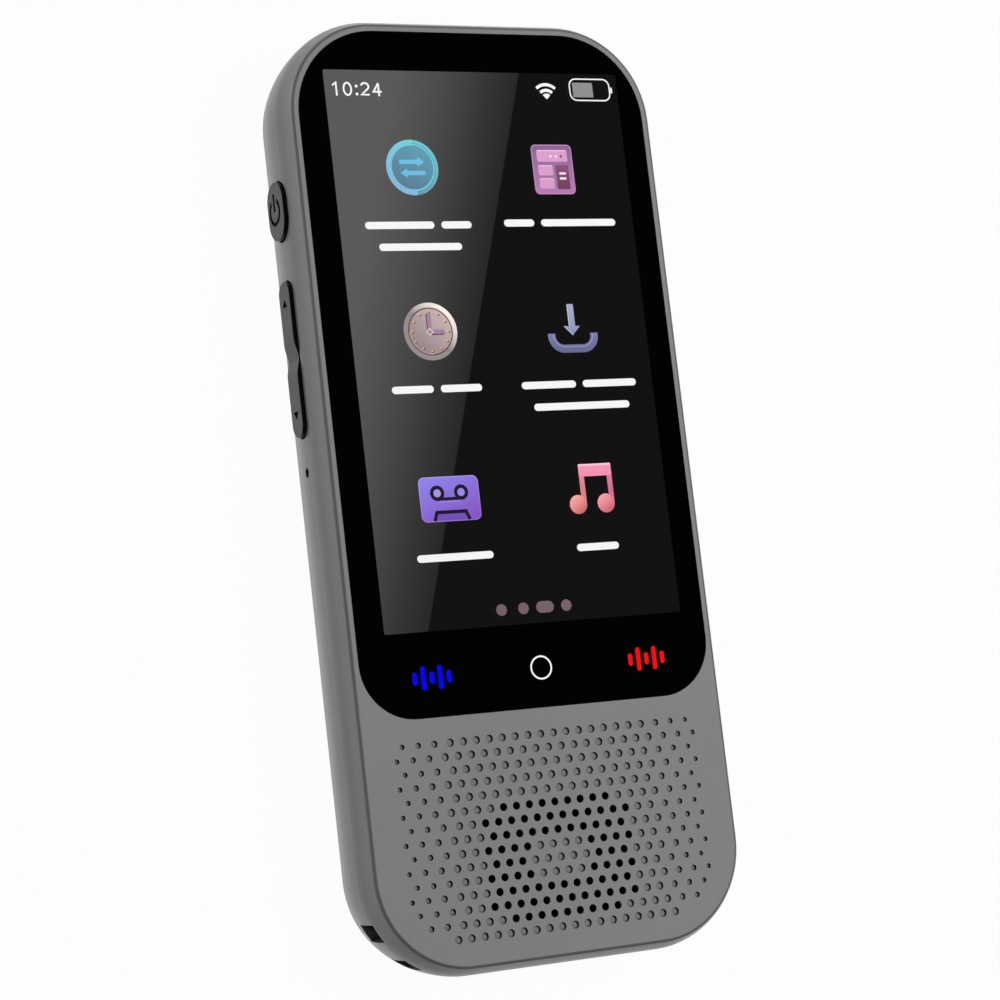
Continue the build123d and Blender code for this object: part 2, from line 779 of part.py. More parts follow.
def make_main_board():
    width = main_board_high_x - main_board_low_x
    outline = Rectangle(width, main_board_length)
    outline = fillet(outline.vertices().group_by(Axis.Y)[-1], main_board_radius)
    outline = Pos(main_board_low_x + width / 2, main_board_low_y + main_board_length / 2) * outline
    for side in (-1, 1):
        outline -= Pos(side * upper_post[0], upper_post[1]) * Circle(cover_post_radius + panel_gap)
    for x, y in main_board_screws:
        outline -= Pos(x, y) * Circle(board_screw_radius + screw_gap)
    pieces = {"main_board": slab(outline, main_board_under, main_board_top)}

    radio_high_x = main_board_high_x - radio_shield_inset
    radio_low_x = radio_high_x - radio_shield_width
    processor_low_y = main_board_low_y + processor_shield_rise
    shields = {
        "processor_shield": (
            (main_board_low_x + processor_shield_inset, radio_low_x - shield_spacing),
            (processor_low_y, processor_low_y + processor_shield_length),
        ),
        "radio_shield": (
            (radio_low_x, radio_high_x),
            (main_board_low_y + radio_shield_rise, window_y - camera_size / 2 - camera_shield_gap),
        ),
    }
    base = main_board_under - shield_height
    for name, ((low_x, high_x), (low_y, high_y)) in shields.items():
        can = block((low_x, high_x), (low_y, high_y), (base, main_board_under))
        can -= block(
            (low_x + shield_wall, high_x - shield_wall),
            (low_y + shield_wall, high_y - shield_wall),
            (base + shield_wall, main_board_under),
        )
        pieces[name] = can

    flex_centre_y = sum(display_flex_slot()[1]) / 2
    display_socket = block(
        about(0, display_flex_width + connector_height),
        about(flex_centre_y, socket_width),
        (main_board_top, main_board_top + connector_height),
    )
    sockets = [display_socket]
    for x, width in ((battery_flex_x, battery_flex_width), (link_flex_x, link_flex_width)):
        sockets.append(
            block(
                about(x, width + connector_height),
                about(main_board_low_y + socket_width, socket_width),
                (main_board_under - connector_height, main_board_under),
            )
        )
    pieces["board_sockets"] = group(sockets)

    screws = []
    for x, y in main_board_screws:
        base = main_board_under - board_screw_head[1]
        reach = board_thickness + main_board_drop - fit_gap
        screws.append(screw(x, y, base, board_screw_head, board_screw_radius, reach))
    for side in (-1, 1):
        base = bottom_board_under - board_screw_head[1]
        x, y = side * bottom_post[0], bottom_post[1]
        screws.append(screw(x, y, base, board_screw_head, board_screw_radius, board_screw_length))
    pieces["board_screws"] = group(screws)

    socket_under = main_board_under - connector_height
    link_start = main_board_low_y + 1.5 * socket_width
    rise_end = main_board_low_y - connector_height
    pieces["link_flex"] = strip(
        [
            (bottom_board_high_y - socket_width / 2, bottom_board_top),
            (battery_high_y + connector_height, bottom_board_top),
            (rise_end, socket_under - flex_thickness),
            (link_start, socket_under - flex_thickness),
        ],
        link_flex_width,
        link_flex_x,
    )
    pieces["antenna"] = block(
        about(0, antenna_width),
        (inner_y - antenna_thickness, inner_y),
        (tray_under - antenna_height, tray_under),
    )
    return pieces


def make_battery():
    top = tray_under - tape_thickness
    base = top - battery_thickness
    length = battery_high_y - battery_low_y
    outline = RectangleRounded(battery_width, length, battery_radius)
    outline = Pos(0, battery_low_y + length / 2) * outline
    width, depth, height = protection_board
    guard = block(
        about(0, width), (battery_high_y, battery_high_y + depth), about((top + base) / 2, height)
    )
    socket_under = main_board_under - connector_height
    flex = strip(
        [
            (battery_high_y + depth, socket_under - flex_thickness),
            (main_board_low_y + 1.5 * socket_width, socket_under - flex_thickness),
        ],
        battery_flex_width,
        battery_flex_x,
    )
    tape = block(
        about(0, battery_width - 2 * battery_radius),
        (key_bay_top + battery_radius, battery_high_y - battery_radius),
        (top, tray_under),
    )
    return {
        "battery": slab(outline, base, top),
        "battery_tape": tape,
        "battery_guard": guard,
        "battery_flex": flex,
    }


def make_bottom_board():
    outline = RectangleRounded(bottom_board_width, bottom_board_length, bottom_board_radius)
    outline = Pos(0, bottom_board_low_y + bottom_board_length / 2) * outline
    for side in (-1, 1):
        outline -= Pos(side * bottom_post[0], bottom_post[1]) * Circle(board_screw_radius + screw_gap)
    mouth = -half_length + usb_sink
    shell_end = mouth + usb_length
    outer = SlotOverall(usb_width, usb_height)
    inner = SlotOverall(usb_width - 2 * usb_shell, usb_height - 2 * usb_shell)
    shell = end_prism(outer, mouth, shell_end, 0, usb_level)
    shell -= end_prism(inner, mouth, shell_end, 0, usb_level)
    base_start = shell_end - usb_base_length
    tongue = end_prism(inner, base_start, shell_end, 0, usb_level)
    tongue += block(
        about(0, tongue_width), (base_start - tongue_length, base_start), about(usb_level, tongue_thickness)
    )
    basket_under = plate_under - mesh_thickness - gasket_thickness - speaker_depth
    contacts = []
    for side in (-1, 1):
        x_range = about(side * contact_spacing, contact_size[0])
        y_range = about(speaker_y, contact_size[1])
        contacts.append(block(x_range, y_range, (bottom_board_top, basket_under)))
    return {
        "bottom_board": slab(outline, bottom_board_under, bottom_board_top),
        "usb_shell": shell,
        "usb_tongue": tongue,
        "speaker_contacts": group(contacts),
    }


def make_speaker():
    place = Pos(0, speaker_y, 0)
    top = plate_under - mesh_thickness - gasket_thickness
    base = top - speaker_depth
    outline = RectangleRounded(speaker_width, speaker_height, speaker_radius)
    opening = RectangleRounded(
        speaker_width - 2 * gasket_width, speaker_height - 2 * gasket_width, speaker_radius - gasket_width
    )
    seat = base + surround_level
    basket = slab(outline, base, top) - slab(opening, top - speaker_rim, top)
    basket -= rod(0, 0, surround_radius + fit_gap, seat, top)
    basket -= rod(0, 0, surround_seat_radius, base + speaker_floor, seat)
    basket -= rod(0, 0, yoke_radius, base, base + speaker_floor)
    yoke = rod(0, 0, yoke_radius, base, base + yoke_height)
    yoke -= rod(0, 0, yoke_radius - yoke_wall, base + yoke_floor, base + yoke_height)
    magnet_base = base + yoke_floor
    pole_base = magnet_base + magnet_height
    coil = ring(coil_radius + coil_wall, coil_radius, seat - coil_drop, seat)

    # Dome: a spherical cap of even thickness inside the coil, with a flat skirt round it
    dome_radius = (coil_radius**2 + cone_rise**2) / (2 * cone_rise)
    dome_centre = seat + cone_rise - dome_radius
    cap = Pos(0, 0, dome_centre) * (Sphere(dome_radius + cone_thickness) - Sphere(dome_radius))
    cap &= rod(0, 0, coil_radius + coil_wall / 2, seat, top)
    skirt = ring(cone_radius, coil_radius, seat, seat + cone_thickness)

    # Surround: one raised roll between the diaphragm and the basket's seat
    middle = (cone_radius + surround_seat_radius) / 2
    roll = (surround_seat_radius - cone_radius) / 2
    crest = seat + surround_roll
    outline_points = [
        (cone_radius, seat),
        (cone_radius + cone_thickness, seat),
        (middle, crest - cone_thickness),
        (surround_seat_radius - cone_thickness, seat),
        (surround_radius, seat),
        (surround_radius, seat + cone_thickness),
        (surround_seat_radius, seat + cone_thickness),
        (middle + roll / 2, crest),
        (middle - roll / 2, crest),
        (cone_radius, seat + cone_thickness),
    ]
    surround = revolve(Plane.XZ * make_face(Polyline(*outline_points, close=True)), Axis.Z)
    pieces = {
        "speaker_basket": basket,
        "speaker_yoke": yoke,
        "speaker_magnet": rod(0, 0, magnet_radius, magnet_base, pole_base),
        "speaker_pole": rod(0, 0, pole_radius, pole_base, pole_base + pole_height),
        "voice_coil": coil,
        "speaker_diaphragm": cap + skirt,
        "speaker_surround": surround,
        "speaker_gasket": slab(outline - opening, top, top + gasket_thickness),
        "dust_mesh": slab(outline, top + gasket_thickness, plate_under),
    }
    return {name: place * piece for name, piece in pieces.items()}


def make_camera():
    lens_base = window_inner + lens_gap
    module_base = main_board_under - camera_height
    light_base = main_board_under - flash_height
    return {
        "camera_window": slab(
            Pos(window_x, window_y) * SlotOverall(window_length, window_height), window_sink, window_inner
        ),
        "camera_module": block(
            about(camera_x, camera_size), about(window_y, camera_size), (module_base, main_board_under)
        ),
        "camera_lens": rod(camera_x, window_y, lens_radius, lens_base, module_base),
        "flash_light": block(
            about(flash_x, flash_size), about(window_y, flash_size), (light_base, main_board_under)
        ),
        "flash_guide": rod(flash_x, window_y, flash_radius, window_inner, light_base - fit_gap),
    }


def make_cover_screws():
    return group(
        screw(x, y, cover_screw_sink, cover_screw_head, cover_screw_radius, cover_screw_length)
        for x, y in cover_post_places()
    )


def make_parts():
    """Every sub-part of the translator by name."""
    body = make_body()
    parts = {
        "front_case": make_front_case(body),
        "back_cover": make_back_cover(body),
        "cover_screws": make_cover_screws(),
        "power_button": make_power_button(),
        "volume_rocker": make_volume_rocker(),
    }
    for maker in (
        make_display,
        make_side_switches,
        make_microphone,
        make_main_board,
        make_battery,
        make_bottom_board,
        make_speaker,
        make_camera,
    ):
        parts.update(maker())
    return parts


os.makedirs("parts", exist_ok=True)
for name, part in make_parts().items():
    export_step(part, f"parts/{name}.step")
    print(name, round(part.volume, 1))
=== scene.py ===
import json
import math

import bpy
import numpy as np
from mathutils import Matrix, Vector


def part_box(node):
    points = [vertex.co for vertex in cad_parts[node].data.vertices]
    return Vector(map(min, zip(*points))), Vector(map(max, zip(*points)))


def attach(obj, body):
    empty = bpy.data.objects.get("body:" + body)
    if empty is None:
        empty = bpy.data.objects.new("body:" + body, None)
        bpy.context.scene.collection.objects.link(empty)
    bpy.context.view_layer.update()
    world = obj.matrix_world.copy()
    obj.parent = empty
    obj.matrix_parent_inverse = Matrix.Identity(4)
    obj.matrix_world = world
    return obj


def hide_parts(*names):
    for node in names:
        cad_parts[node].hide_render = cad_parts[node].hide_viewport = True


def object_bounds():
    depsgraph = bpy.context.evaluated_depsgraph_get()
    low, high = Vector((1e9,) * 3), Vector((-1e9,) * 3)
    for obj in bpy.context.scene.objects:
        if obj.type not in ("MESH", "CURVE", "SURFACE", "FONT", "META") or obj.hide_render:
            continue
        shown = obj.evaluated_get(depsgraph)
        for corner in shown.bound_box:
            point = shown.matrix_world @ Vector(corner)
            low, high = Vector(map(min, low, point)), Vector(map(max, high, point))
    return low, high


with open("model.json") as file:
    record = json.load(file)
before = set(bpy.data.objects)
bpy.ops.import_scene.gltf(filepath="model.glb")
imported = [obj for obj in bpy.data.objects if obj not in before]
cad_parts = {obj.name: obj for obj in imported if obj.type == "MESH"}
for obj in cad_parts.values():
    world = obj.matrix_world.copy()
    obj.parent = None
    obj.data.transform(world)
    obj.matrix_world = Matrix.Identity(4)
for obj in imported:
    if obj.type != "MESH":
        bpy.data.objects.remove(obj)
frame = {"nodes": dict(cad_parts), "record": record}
cadLow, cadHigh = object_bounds()
nodes = frame["nodes"]
mm = 0.001
print("frame loaded:", len(nodes), "nodes")


def toLinear(hexColor):
    # sRGB to linear: c / 12.92 where c is dark, else ((c + 0.055) / 1.055) to the power 2.4
    channels = np.array([int(hexColor[at:at + 2], 16) for at in (1, 3, 5)]) / 255
    bright = ((channels + 0.055) / 1.055) ** 2.4
    return (*np.where(channels <= 0.04045, channels / 12.92, bright).tolist(), 1.0)


def addNode(tree, kind, inputs=None, links=None, stops=(), **settings):
    # Inputs hold constants and links hold sources, each by its socket. Stops are a ramp's rows of
    # (position, colour), and settings are the node's own values
    node = tree.nodes.new(kind)
    for name, value in settings.items():
        setattr(node, name, value)
    if stops:
        ramp = node.color_ramp.elements
        ramp.remove(ramp[-1])
        ramp[0].position, ramp[0].color = stops[0]
        for position, colour in stops[1:]:
            ramp.new(position).color = colour
    fillSockets(tree, node, inputs, links)
    return node


def fillSockets(tree, node, inputs=None, links=None):
    # Constants and links of a node that is already there, each by its socket
    for socket, value in (inputs or {}).items():
        node.inputs[socket].default_value = value
    for socket, source in (links or {}).items():
        tree.links.new(source, node.inputs[socket])


def newMaterial(name):
    # A material with its tree, its shader and the place on the piece, as Object coordinates
    material = bpy.data.materials.new(name)
    material.use_nodes = True
    tree = material.node_tree
    place = addNode(tree, "ShaderNodeTexCoord").outputs["Object"]
    return material, tree, tree.nodes["Principled BSDF"], place


def makePiece(name, parts, finishes, smooth=False):
    # Joins (points, faces, finish number) parts to one mesh piece that rides on the case
    points, faces, numbers, start = [], [], [], 0
    for partPoints, partFaces, number in parts:
        points.append(np.asarray(partPoints, float) * mm)
        faces += [[corner + start for corner in face] for face in partFaces]
        numbers += [number] * len(partFaces)
        start += len(partPoints)
    mesh = bpy.data.meshes.new(name)
    mesh.from_pydata(np.concatenate(points).tolist(), [], faces)
    for finish in finishes:
        mesh.materials.append(finish)
    mesh.polygons.foreach_set("material_index", numbers)
    mesh.polygons.foreach_set("use_smooth", [smooth] * len(faces))
    mesh.update()
    piece = bpy.data.objects.new(name, mesh)
    bpy.context.scene.collection.objects.link(piece)
    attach(piece, "case")
    return piece


def arcPath(x, y, radius, start, end, count):
    # Points at one radius from (x, y), from a start to an end angle in degrees. All outlines are
    # in millimetres on the screen's plane
    turn = np.radians(np.linspace(start, end, count))
    return np.stack([x + radius * np.cos(turn), y + radius * np.sin(turn)], 1)


def circle(x, y, radius, count=48):
    # A full turn, whose last point stands one step before the first
    return arcPath(x, y, radius, 0, 360 * (1 - 1 / count), count)


def roundedBox(x, y, width, height, radius, count=7, lowRadius=None):
    # Four quarter arcs, one about each corner's centre; the lower two may have their own radius
    low = radius if lowRadius is None else lowRadius
    halfWidth, halfHeight = width / 2, height / 2
    corners = ((1, 1, radius, 0), (-1, 1, radius, 90), (-1, -1, low, 180), (1, -1, low, 270))
    return np.concatenate([
        arcPath(
            x + sideX * (halfWidth - size), y + sideY * (halfHeight - size),
            size, start, start + 90, count,
        )
        for sideX, sideY, size, start in corners
    ])


def boxBetween(sides, radius, inset=0.0, count=7):
    # A rounded box from its left, right, top and low side, drawn in all round by the inset
    left, right, top, low = sides
    return roundedBox(
        (left + right) / 2, (top + low) / 2, right - left - 2 * inset, top - low - 2 * inset,
        radius - inset, count,
    )


def lift(rows):
    # The points of all outlines, one after the other, each outline at its own level
    return np.concatenate([np.column_stack([path, np.full(len(path), level)]) for path, level in rows])


def stack(loops):
    # Outlines of equal length, each at its own level, skinned by quads and closed at both ends
    count = len(loops[0][0])
    low = np.arange(count)
    after = np.roll(low, -1)
    faces = [low[::-1].tolist()]
    for row in range(len(loops) - 1):
        faces += (np.stack([low, after, after + count, low + count], 1) + row * count).tolist()
    faces.append((low + (len(loops) - 1) * count).tolist())
    return lift(loops), faces


def plate(outline, low, high):
    # The outline runs anticlockwise where its signed area, half the sum of the cross products of
    # neighbouring points, is positive, and is turned round where it isn't
    after = np.roll(outline, -1, 0)
    area = (outline[:, 0] * after[:, 1] - outline[:, 1] * after[:, 0]).sum() / 2
    return stack([(outline[::1 if area > 0 else -1], level) for level in (low, high)])


def tube(edges, closed):
    # Four edges of equal length, each at its own level, joined by quads round the section. Where
    # the edges don't close, a face shuts each end
    count = len(edges[0][0])
    here = np.arange(count if closed else count - 1)
    after = (here + 1) % count
    faces = []
    for lane in range(4):
        lower, upper = lane * count, (lane + 1) % 4 * count
        faces += np.stack([here + lower, after + lower, after + upper, here + upper], 1).tolist()
    if not closed:
        faces.append([0, count, 2 * count, 3 * count])
        faces.append([count - 1, 4 * count - 1, 3 * count - 1, 2 * count - 1])
    return lift(edges), faces


def band(path, width, low, high, closed=False):
    # A rectangle carried along a path. Each point moves to both sides along the line that halves
    # its corner, by half the width divided by the cosine of half the turn
    steps = np.roll(path, -1, 0) - path
    steps /= np.linalg.norm(steps, axis=1)[:, None]
    if not closed:
        steps[-1] = steps[-2]
    before = np.roll(steps, 1, 0)
    if not closed:
        before[0] = steps[0]
    along = before + steps
    along /= np.linalg.norm(along, axis=1)[:, None]
    leastCosine = 0.5  # keeps a sharp corner from running far out
    reach = width / 2 / np.maximum((along * steps).sum(1), leastCosine)[:, None]
    side = np.stack([along[:, 1], -along[:, 0]], 1) * reach
    left, right = path - side, path + side
    return tube([(left, low), (right, low), (right, high), (left, high)], closed)


def ringBand(inner, outer, low, high):
    # The room between two anticlockwise outlines of equal length, from one level to another
    return tube([(inner, low), (outer, low), (outer, high), (inner, high)], True)


def surfaceFinish(look):
    # One coarse noise lets colour and roughness drift, and a fine one raises the grain
    material, tree, shader, place = newMaterial(look["name"])
    stretch = addNode(
        tree, "ShaderNodeMapping", {"Scale": look.get("stretch", (1, 1, 1))}, {"Vector": place}
    ).outputs[0]
    drift, grain = [
        addNode(
            tree, "ShaderNodeTexNoise",
            {"Scale": 1 / (look[size] * mm), "Detail": detail}, {"Vector": stretch},
        ).outputs["Fac"]
        for size, detail in (("drift", 3.0), ("grain", 2.0))
    ]
    colour = addNode(
        tree, "ShaderNodeMix", {6: toLinear(look["dark"]), 7: toLinear(look["light"])},
        {0: drift}, data_type="RGBA",
    ).outputs[2]
    low, high = look["rough"]
    rough = addNode(
        tree, "ShaderNodeMapRange", {"To Min": low, "To Max": high}, {"Value": drift}
    ).outputs[0]
    bump = addNode(
        tree, "ShaderNodeBump", {"Distance": look["depth"] * mm, "Strength": 1.0}, {"Height": grain}
    ).outputs[0]
    if "recessShade" in look:
        # Painted shade: the colour darkens where neighbouring walls hide the surroundings, in holes and
        # pockets
        openness = addNode(
            tree, "ShaderNodeAmbientOcclusion", {"Distance": look["recessReach"] * mm}, only_local=True
        ).outputs["AO"]
        openness = addNode(
            tree, "ShaderNodeMapRange",
            {"From Min": look["recessHidden"], "From Max": look["recessOpen"]},
            {"Value": openness},
        ).outputs[0]
        colour = addNode(
            tree, "ShaderNodeMix", {6: toLinear(look["recessShade"])}, {0: openness, 7: colour},
            data_type="RGBA",
        ).outputs[2]
    if "slopeLightAndShade" in look:
        # Painted light and shade by slope: each row gives the normal's Z and the colour's share there, so
        # that the walls and the round next to the face are darker and a band between them is as light as the
        # face
        lowest = look["slopeLightAndShade"][0][0]
        shares = [
            ((slope - lowest) / (1 - lowest), (share, share, share, 1)) for slope, share in look["slopeLightAndShade"]
        ]
        normal = addNode(tree, "ShaderNodeTexCoord").outputs["Normal"]
        rise = addNode(tree, "ShaderNodeSeparateXYZ", None, {0: normal}).outputs[2]
        rise = addNode(tree, "ShaderNodeMapRange", {"From Min": lowest}, {"Value": rise}).outputs[0]
        paintedSlopeShade = addNode(tree, "ShaderNodeValToRGB", None, {0: rise}, shares).outputs[0]
        colour = addNode(
            tree, "ShaderNodeMix", {0: 1.0}, {6: colour, 7: paintedSlopeShade}, data_type="RGBA",
            blend_type="MULTIPLY",
        ).outputs[2]
    fillSockets(
        tree, shader, {"Metallic": look.get("metal", 0.0), **look.get("sockets", {})},
        {"Base Color": colour, "Roughness": rough, "Normal": bump},
    )
    return material


# Sizes in millimetres: drift is how far apart the shades lie, grain the mould's texture
finishLooks = {
    # PC/ABS under a grey flake paint with a thin satin lacquer: even and paler at a glancing look. Painted
    # shade blackens the inside of the holes, and painted light and shade by slope darken the walls and the
    # tight round of the face and lighten a band between them
    "case_plastic": {
        "name": "satinFlakePaint", "dark": "#7e7e7f", "light": "#858586", "drift": 22,
        "rough": (0.46, 0.52), "grain": 0.22, "depth": 0.006, "metal": 0.05,
        "recessShade": "#141414", "recessReach": 5.0, "recessHidden": 0.25, "recessOpen": 0.82,
        "slopeLightAndShade": (
            (-0.2, 0.6), (-0.08, 0.38), (0.06, 0.45), (0.2, 0.55), (0.32, 0.78), (0.45, 1.0), (0.6, 0.8),
            (0.8, 0.45), (0.97, 0.48), (0.998, 1.0),
        ),
        "sockets": {"Coat Weight": 0.4, "Coat Roughness": 0.2},
    },
    # foam tape with a rubbery black face
    "adhesive": {
        "name": "blackFoamTape", "dark": "#0b0b0b", "light": "#141414", "drift": 3,
        "rough": (0.8, 0.95), "grain": 0.3, "depth": 0.03,
    },
    # polarising film over glass: black and smooth when it isn't lit
    "display": {
        "name": "polarisedPanel", "dark": "#050506", "light": "#090a0b", "drift": 9,
        "rough": (0.1, 0.16), "grain": 0.5, "depth": 0.001,
    },
    # white painted tray round the light guide
    "backlight": {
        "name": "paintedTray", "dark": "#c9cac8", "light": "#d8d8d5", "drift": 10,
        "rough": (0.4, 0.5), "grain": 0.3, "depth": 0.005,
    },
    # polyimide film: amber and slightly rippled
    "flex": {
        "name": "polyimideFilm", "dark": "#8a4a12", "light": "#a4601d", "drift": 4,
        "rough": (0.25, 0.4), "grain": 0.6, "depth": 0.01,
    },
    # clear polycarbonate, polished mould
    "light_guide": {
        "name": "frostedPolycarbonate", "dark": "#d4d8da", "light": "#e6e8ea", "drift": 3,
        "rough": (0.2, 0.3), "grain": 0.4, "depth": 0.004, "sockets": {"Transmission Weight": 0.6},
    },
    # yellow phosphor resin over the chip
    "led": {
        "name": "phosphorResin", "dark": "#d9c465", "light": "#e8d98a", "drift": 0.6,
        "rough": (0.3, 0.45), "grain": 0.1, "depth": 0.005,
    },
    # glass-filled nylon, moulded: dull, with a coarse grain
    "switch_plastic": {
        "name": "glassFilledNylon", "dark": "#101011", "light": "#1b1b1c", "drift": 2,
        "rough": (0.55, 0.7), "grain": 0.12, "depth": 0.01,
    },
    # stainless strip, rolled and stamped: fine lines along it
    "steel": {
        "name": "stampedStainless", "dark": "#9c9c9d", "light": "#b2b2b3", "drift": 2,
        "rough": (0.28, 0.42), "grain": 0.1, "depth": 0.002, "metal": 1.0, "stretch": (1, 0.08, 1),
    },
    # bright nickel over drawn steel
    "plated_steel": {
        "name": "nickelPlate", "dark": "#a8a69f", "light": "#c0beb7", "drift": 4,
        "rough": (0.16, 0.26), "grain": 0.4, "depth": 0.001, "metal": 1.0,
    },
    # black zinc over rolled threads and a stamped head
    "screw_steel": {
        "name": "blackZincSteel", "dark": "#232323", "light": "#363637", "drift": 0.8,
        "rough": (0.32, 0.45), "grain": 0.1, "depth": 0.003, "metal": 1.0,
    },
    # cream liquid-crystal polymer
    "socket_plastic": {
        "name": "creamPolymer", "dark": "#b9b09a", "light": "#cac2ad", "drift": 1.5,
        "rough": (0.45, 0.6), "grain": 0.1, "depth": 0.004,
    },
    # aluminium laminate pouch, slightly crinkled
    "battery_pouch": {
        "name": "laminatedFoil", "dark": "#8d9093", "light": "#a9abad", "drift": 6,
        "rough": (0.3, 0.42), "grain": 2.5, "depth": 0.03, "metal": 1.0,
    },
    # tissue tape, matt white
    "tape": {
        "name": "tissueTape", "dark": "#d9d6cc", "light": "#e7e5dd", "drift": 4,
        "rough": (0.8, 0.9), "grain": 0.25, "depth": 0.015,
    },
    # silicone, compression moulded
    "rubber": {
        "name": "blackSilicone", "dark": "#0e0e0e", "light": "#171717", "drift": 2,
        "rough": (0.6, 0.75), "grain": 0.2, "depth": 0.008,
    },
    # nickel-plated neodymium
    "magnet": {
        "name": "platedNeodymium", "dark": "#9d9d9c", "light": "#b4b3b1", "drift": 1.5,
        "rough": (0.18, 0.3), "grain": 0.3, "depth": 0.002, "metal": 1.0,
    },
    # enamelled copper wire and gold-flashed springs
    "copper": {
        "name": "enamelledCopper", "dark": "#a35a2c", "light": "#bd7440", "drift": 0.8,
        "rough": (0.25, 0.38), "grain": 0.08, "depth": 0.01, "metal": 1.0, "stretch": (1, 1, 4),
    },
    # thermoformed polyester film
    "cone_film": {
        "name": "formedPolyester", "dark": "#161618", "light": "#222225", "drift": 2,
        "rough": (0.3, 0.45), "grain": 0.4, "depth": 0.01,
    },
    # moulded black polycarbonate barrel and housing
    "camera_plastic": {
        "name": "blackPolycarbonate", "dark": "#0b0b0c", "light": "#131314", "drift": 2,
        "rough": (0.35, 0.5), "grain": 0.12, "depth": 0.004,
    },
}


def solderMask():
    # FR4 board under green solder mask: the copper tracks show as slightly lighter, raised lines.
    # They run in a brick pattern, each row of which is a quarter of the pattern's unit high
    look = {
        "mask": "#0d3a22", "copper": "#1b5a37", "rough": 0.28, "spacing": 0.9, "track": 0.0756,
        "raised": 0.02,
    }
    material, tree, shader, place = newMaterial("greenSolderMask")
    scale = 1 / (4 * look["spacing"] * mm)
    tracks = addNode(
        tree, "ShaderNodeTexBrick",
        {
            "Scale": scale, "Mortar Size": look["track"] * mm * scale,
            "Color1": toLinear(look["mask"]), "Color2": toLinear(look["mask"]),
            "Mortar": toLinear(look["copper"]),
        },
        {"Vector": place}, offset=0.5,
    ).outputs
    bump = addNode(
        tree, "ShaderNodeBump", {"Distance": look["raised"] * mm, "Strength": 1.0},
        {"Height": tracks["Fac"]},
    ).outputs[0]
    fillSockets(tree, shader, {"Roughness": look["rough"]}, {"Base Color": tracks["Color"], "Normal": bump})
    return material


def wovenScreen():
    # Polyester monofilament screen: two sets of round threads cross, here 0.2 mm apart so that they
    # show. At scale 1 the wave pattern's bands lie a period apart
    look = {
        "thread": "#0a0a0a", "gap": "#020202", "rough": 0.85, "pitch": 0.2, "depth": 0.05,
        "period": 0.314,
    }
    material, tree, shader, place = newMaterial("wovenPolyesterScreen")
    heights = [
        addNode(
            tree, "ShaderNodeTexWave", {"Scale": look["period"] / (look["pitch"] * mm)},
            {"Vector": place}, bands_direction=direction,
        ).outputs["Fac"]
        for direction in ("X", "Y")
    ]
    weave = addNode(
        tree, "ShaderNodeMath", None, {0: heights[0], 1: heights[1]}, operation="MAXIMUM"
    ).outputs[0]
    colour = addNode(
        tree, "ShaderNodeMix", {6: toLinear(look["gap"]), 7: toLinear(look["thread"])}, {0: weave},
        data_type="RGBA",
    ).outputs[2]
    bump = addNode(
        tree, "ShaderNodeBump", {"Distance": look["depth"] * mm, "Strength": 1.0}, {"Height": weave}
    ).outputs[0]
    fillSockets(tree, shader, {"Roughness": look["rough"]}, {"Base Color": colour, "Normal": bump})
    return material


def paintFinish(look):
    # One coarse noise lets the paint's colour drift
    material, tree, shader, place = newMaterial(look["name"])
    drift = addNode(
        tree, "ShaderNodeTexNoise", {"Scale": 1 / (look["drift"] * mm), "Detail": 2.0}, {"Vector": place}
    ).outputs["Fac"]
    colour = addNode(
        tree, "ShaderNodeMix", {6: toLinear(look["dark"]), 7: toLinear(look["light"])}, {0: drift},
        data_type="RGBA",
    ).outputs[2]
    fillSockets(tree, shader, look["sockets"], {"Base Color": colour})
    return material


def smokedGlass():
    # Back-painted glass over the camera: black, polished, with a faint drift in its paint
    return paintFinish({
        "name": "paintedCameraGlass", "dark": "#050506", "light": "#0b0b0d", "drift": 3,
        "sockets": {"Roughness": 0.06, "IOR": 1.52},
    })


def printedInk():
    # Screen-printed black ceramic ink on the glass's underside: matt and even
    return paintFinish({
        "name": "printedBlackInk", "dark": "#010101", "light": "#040404", "drift": 4,
        "sockets": {"Roughness": 0.5, "Specular IOR Level": 0.0},
    })


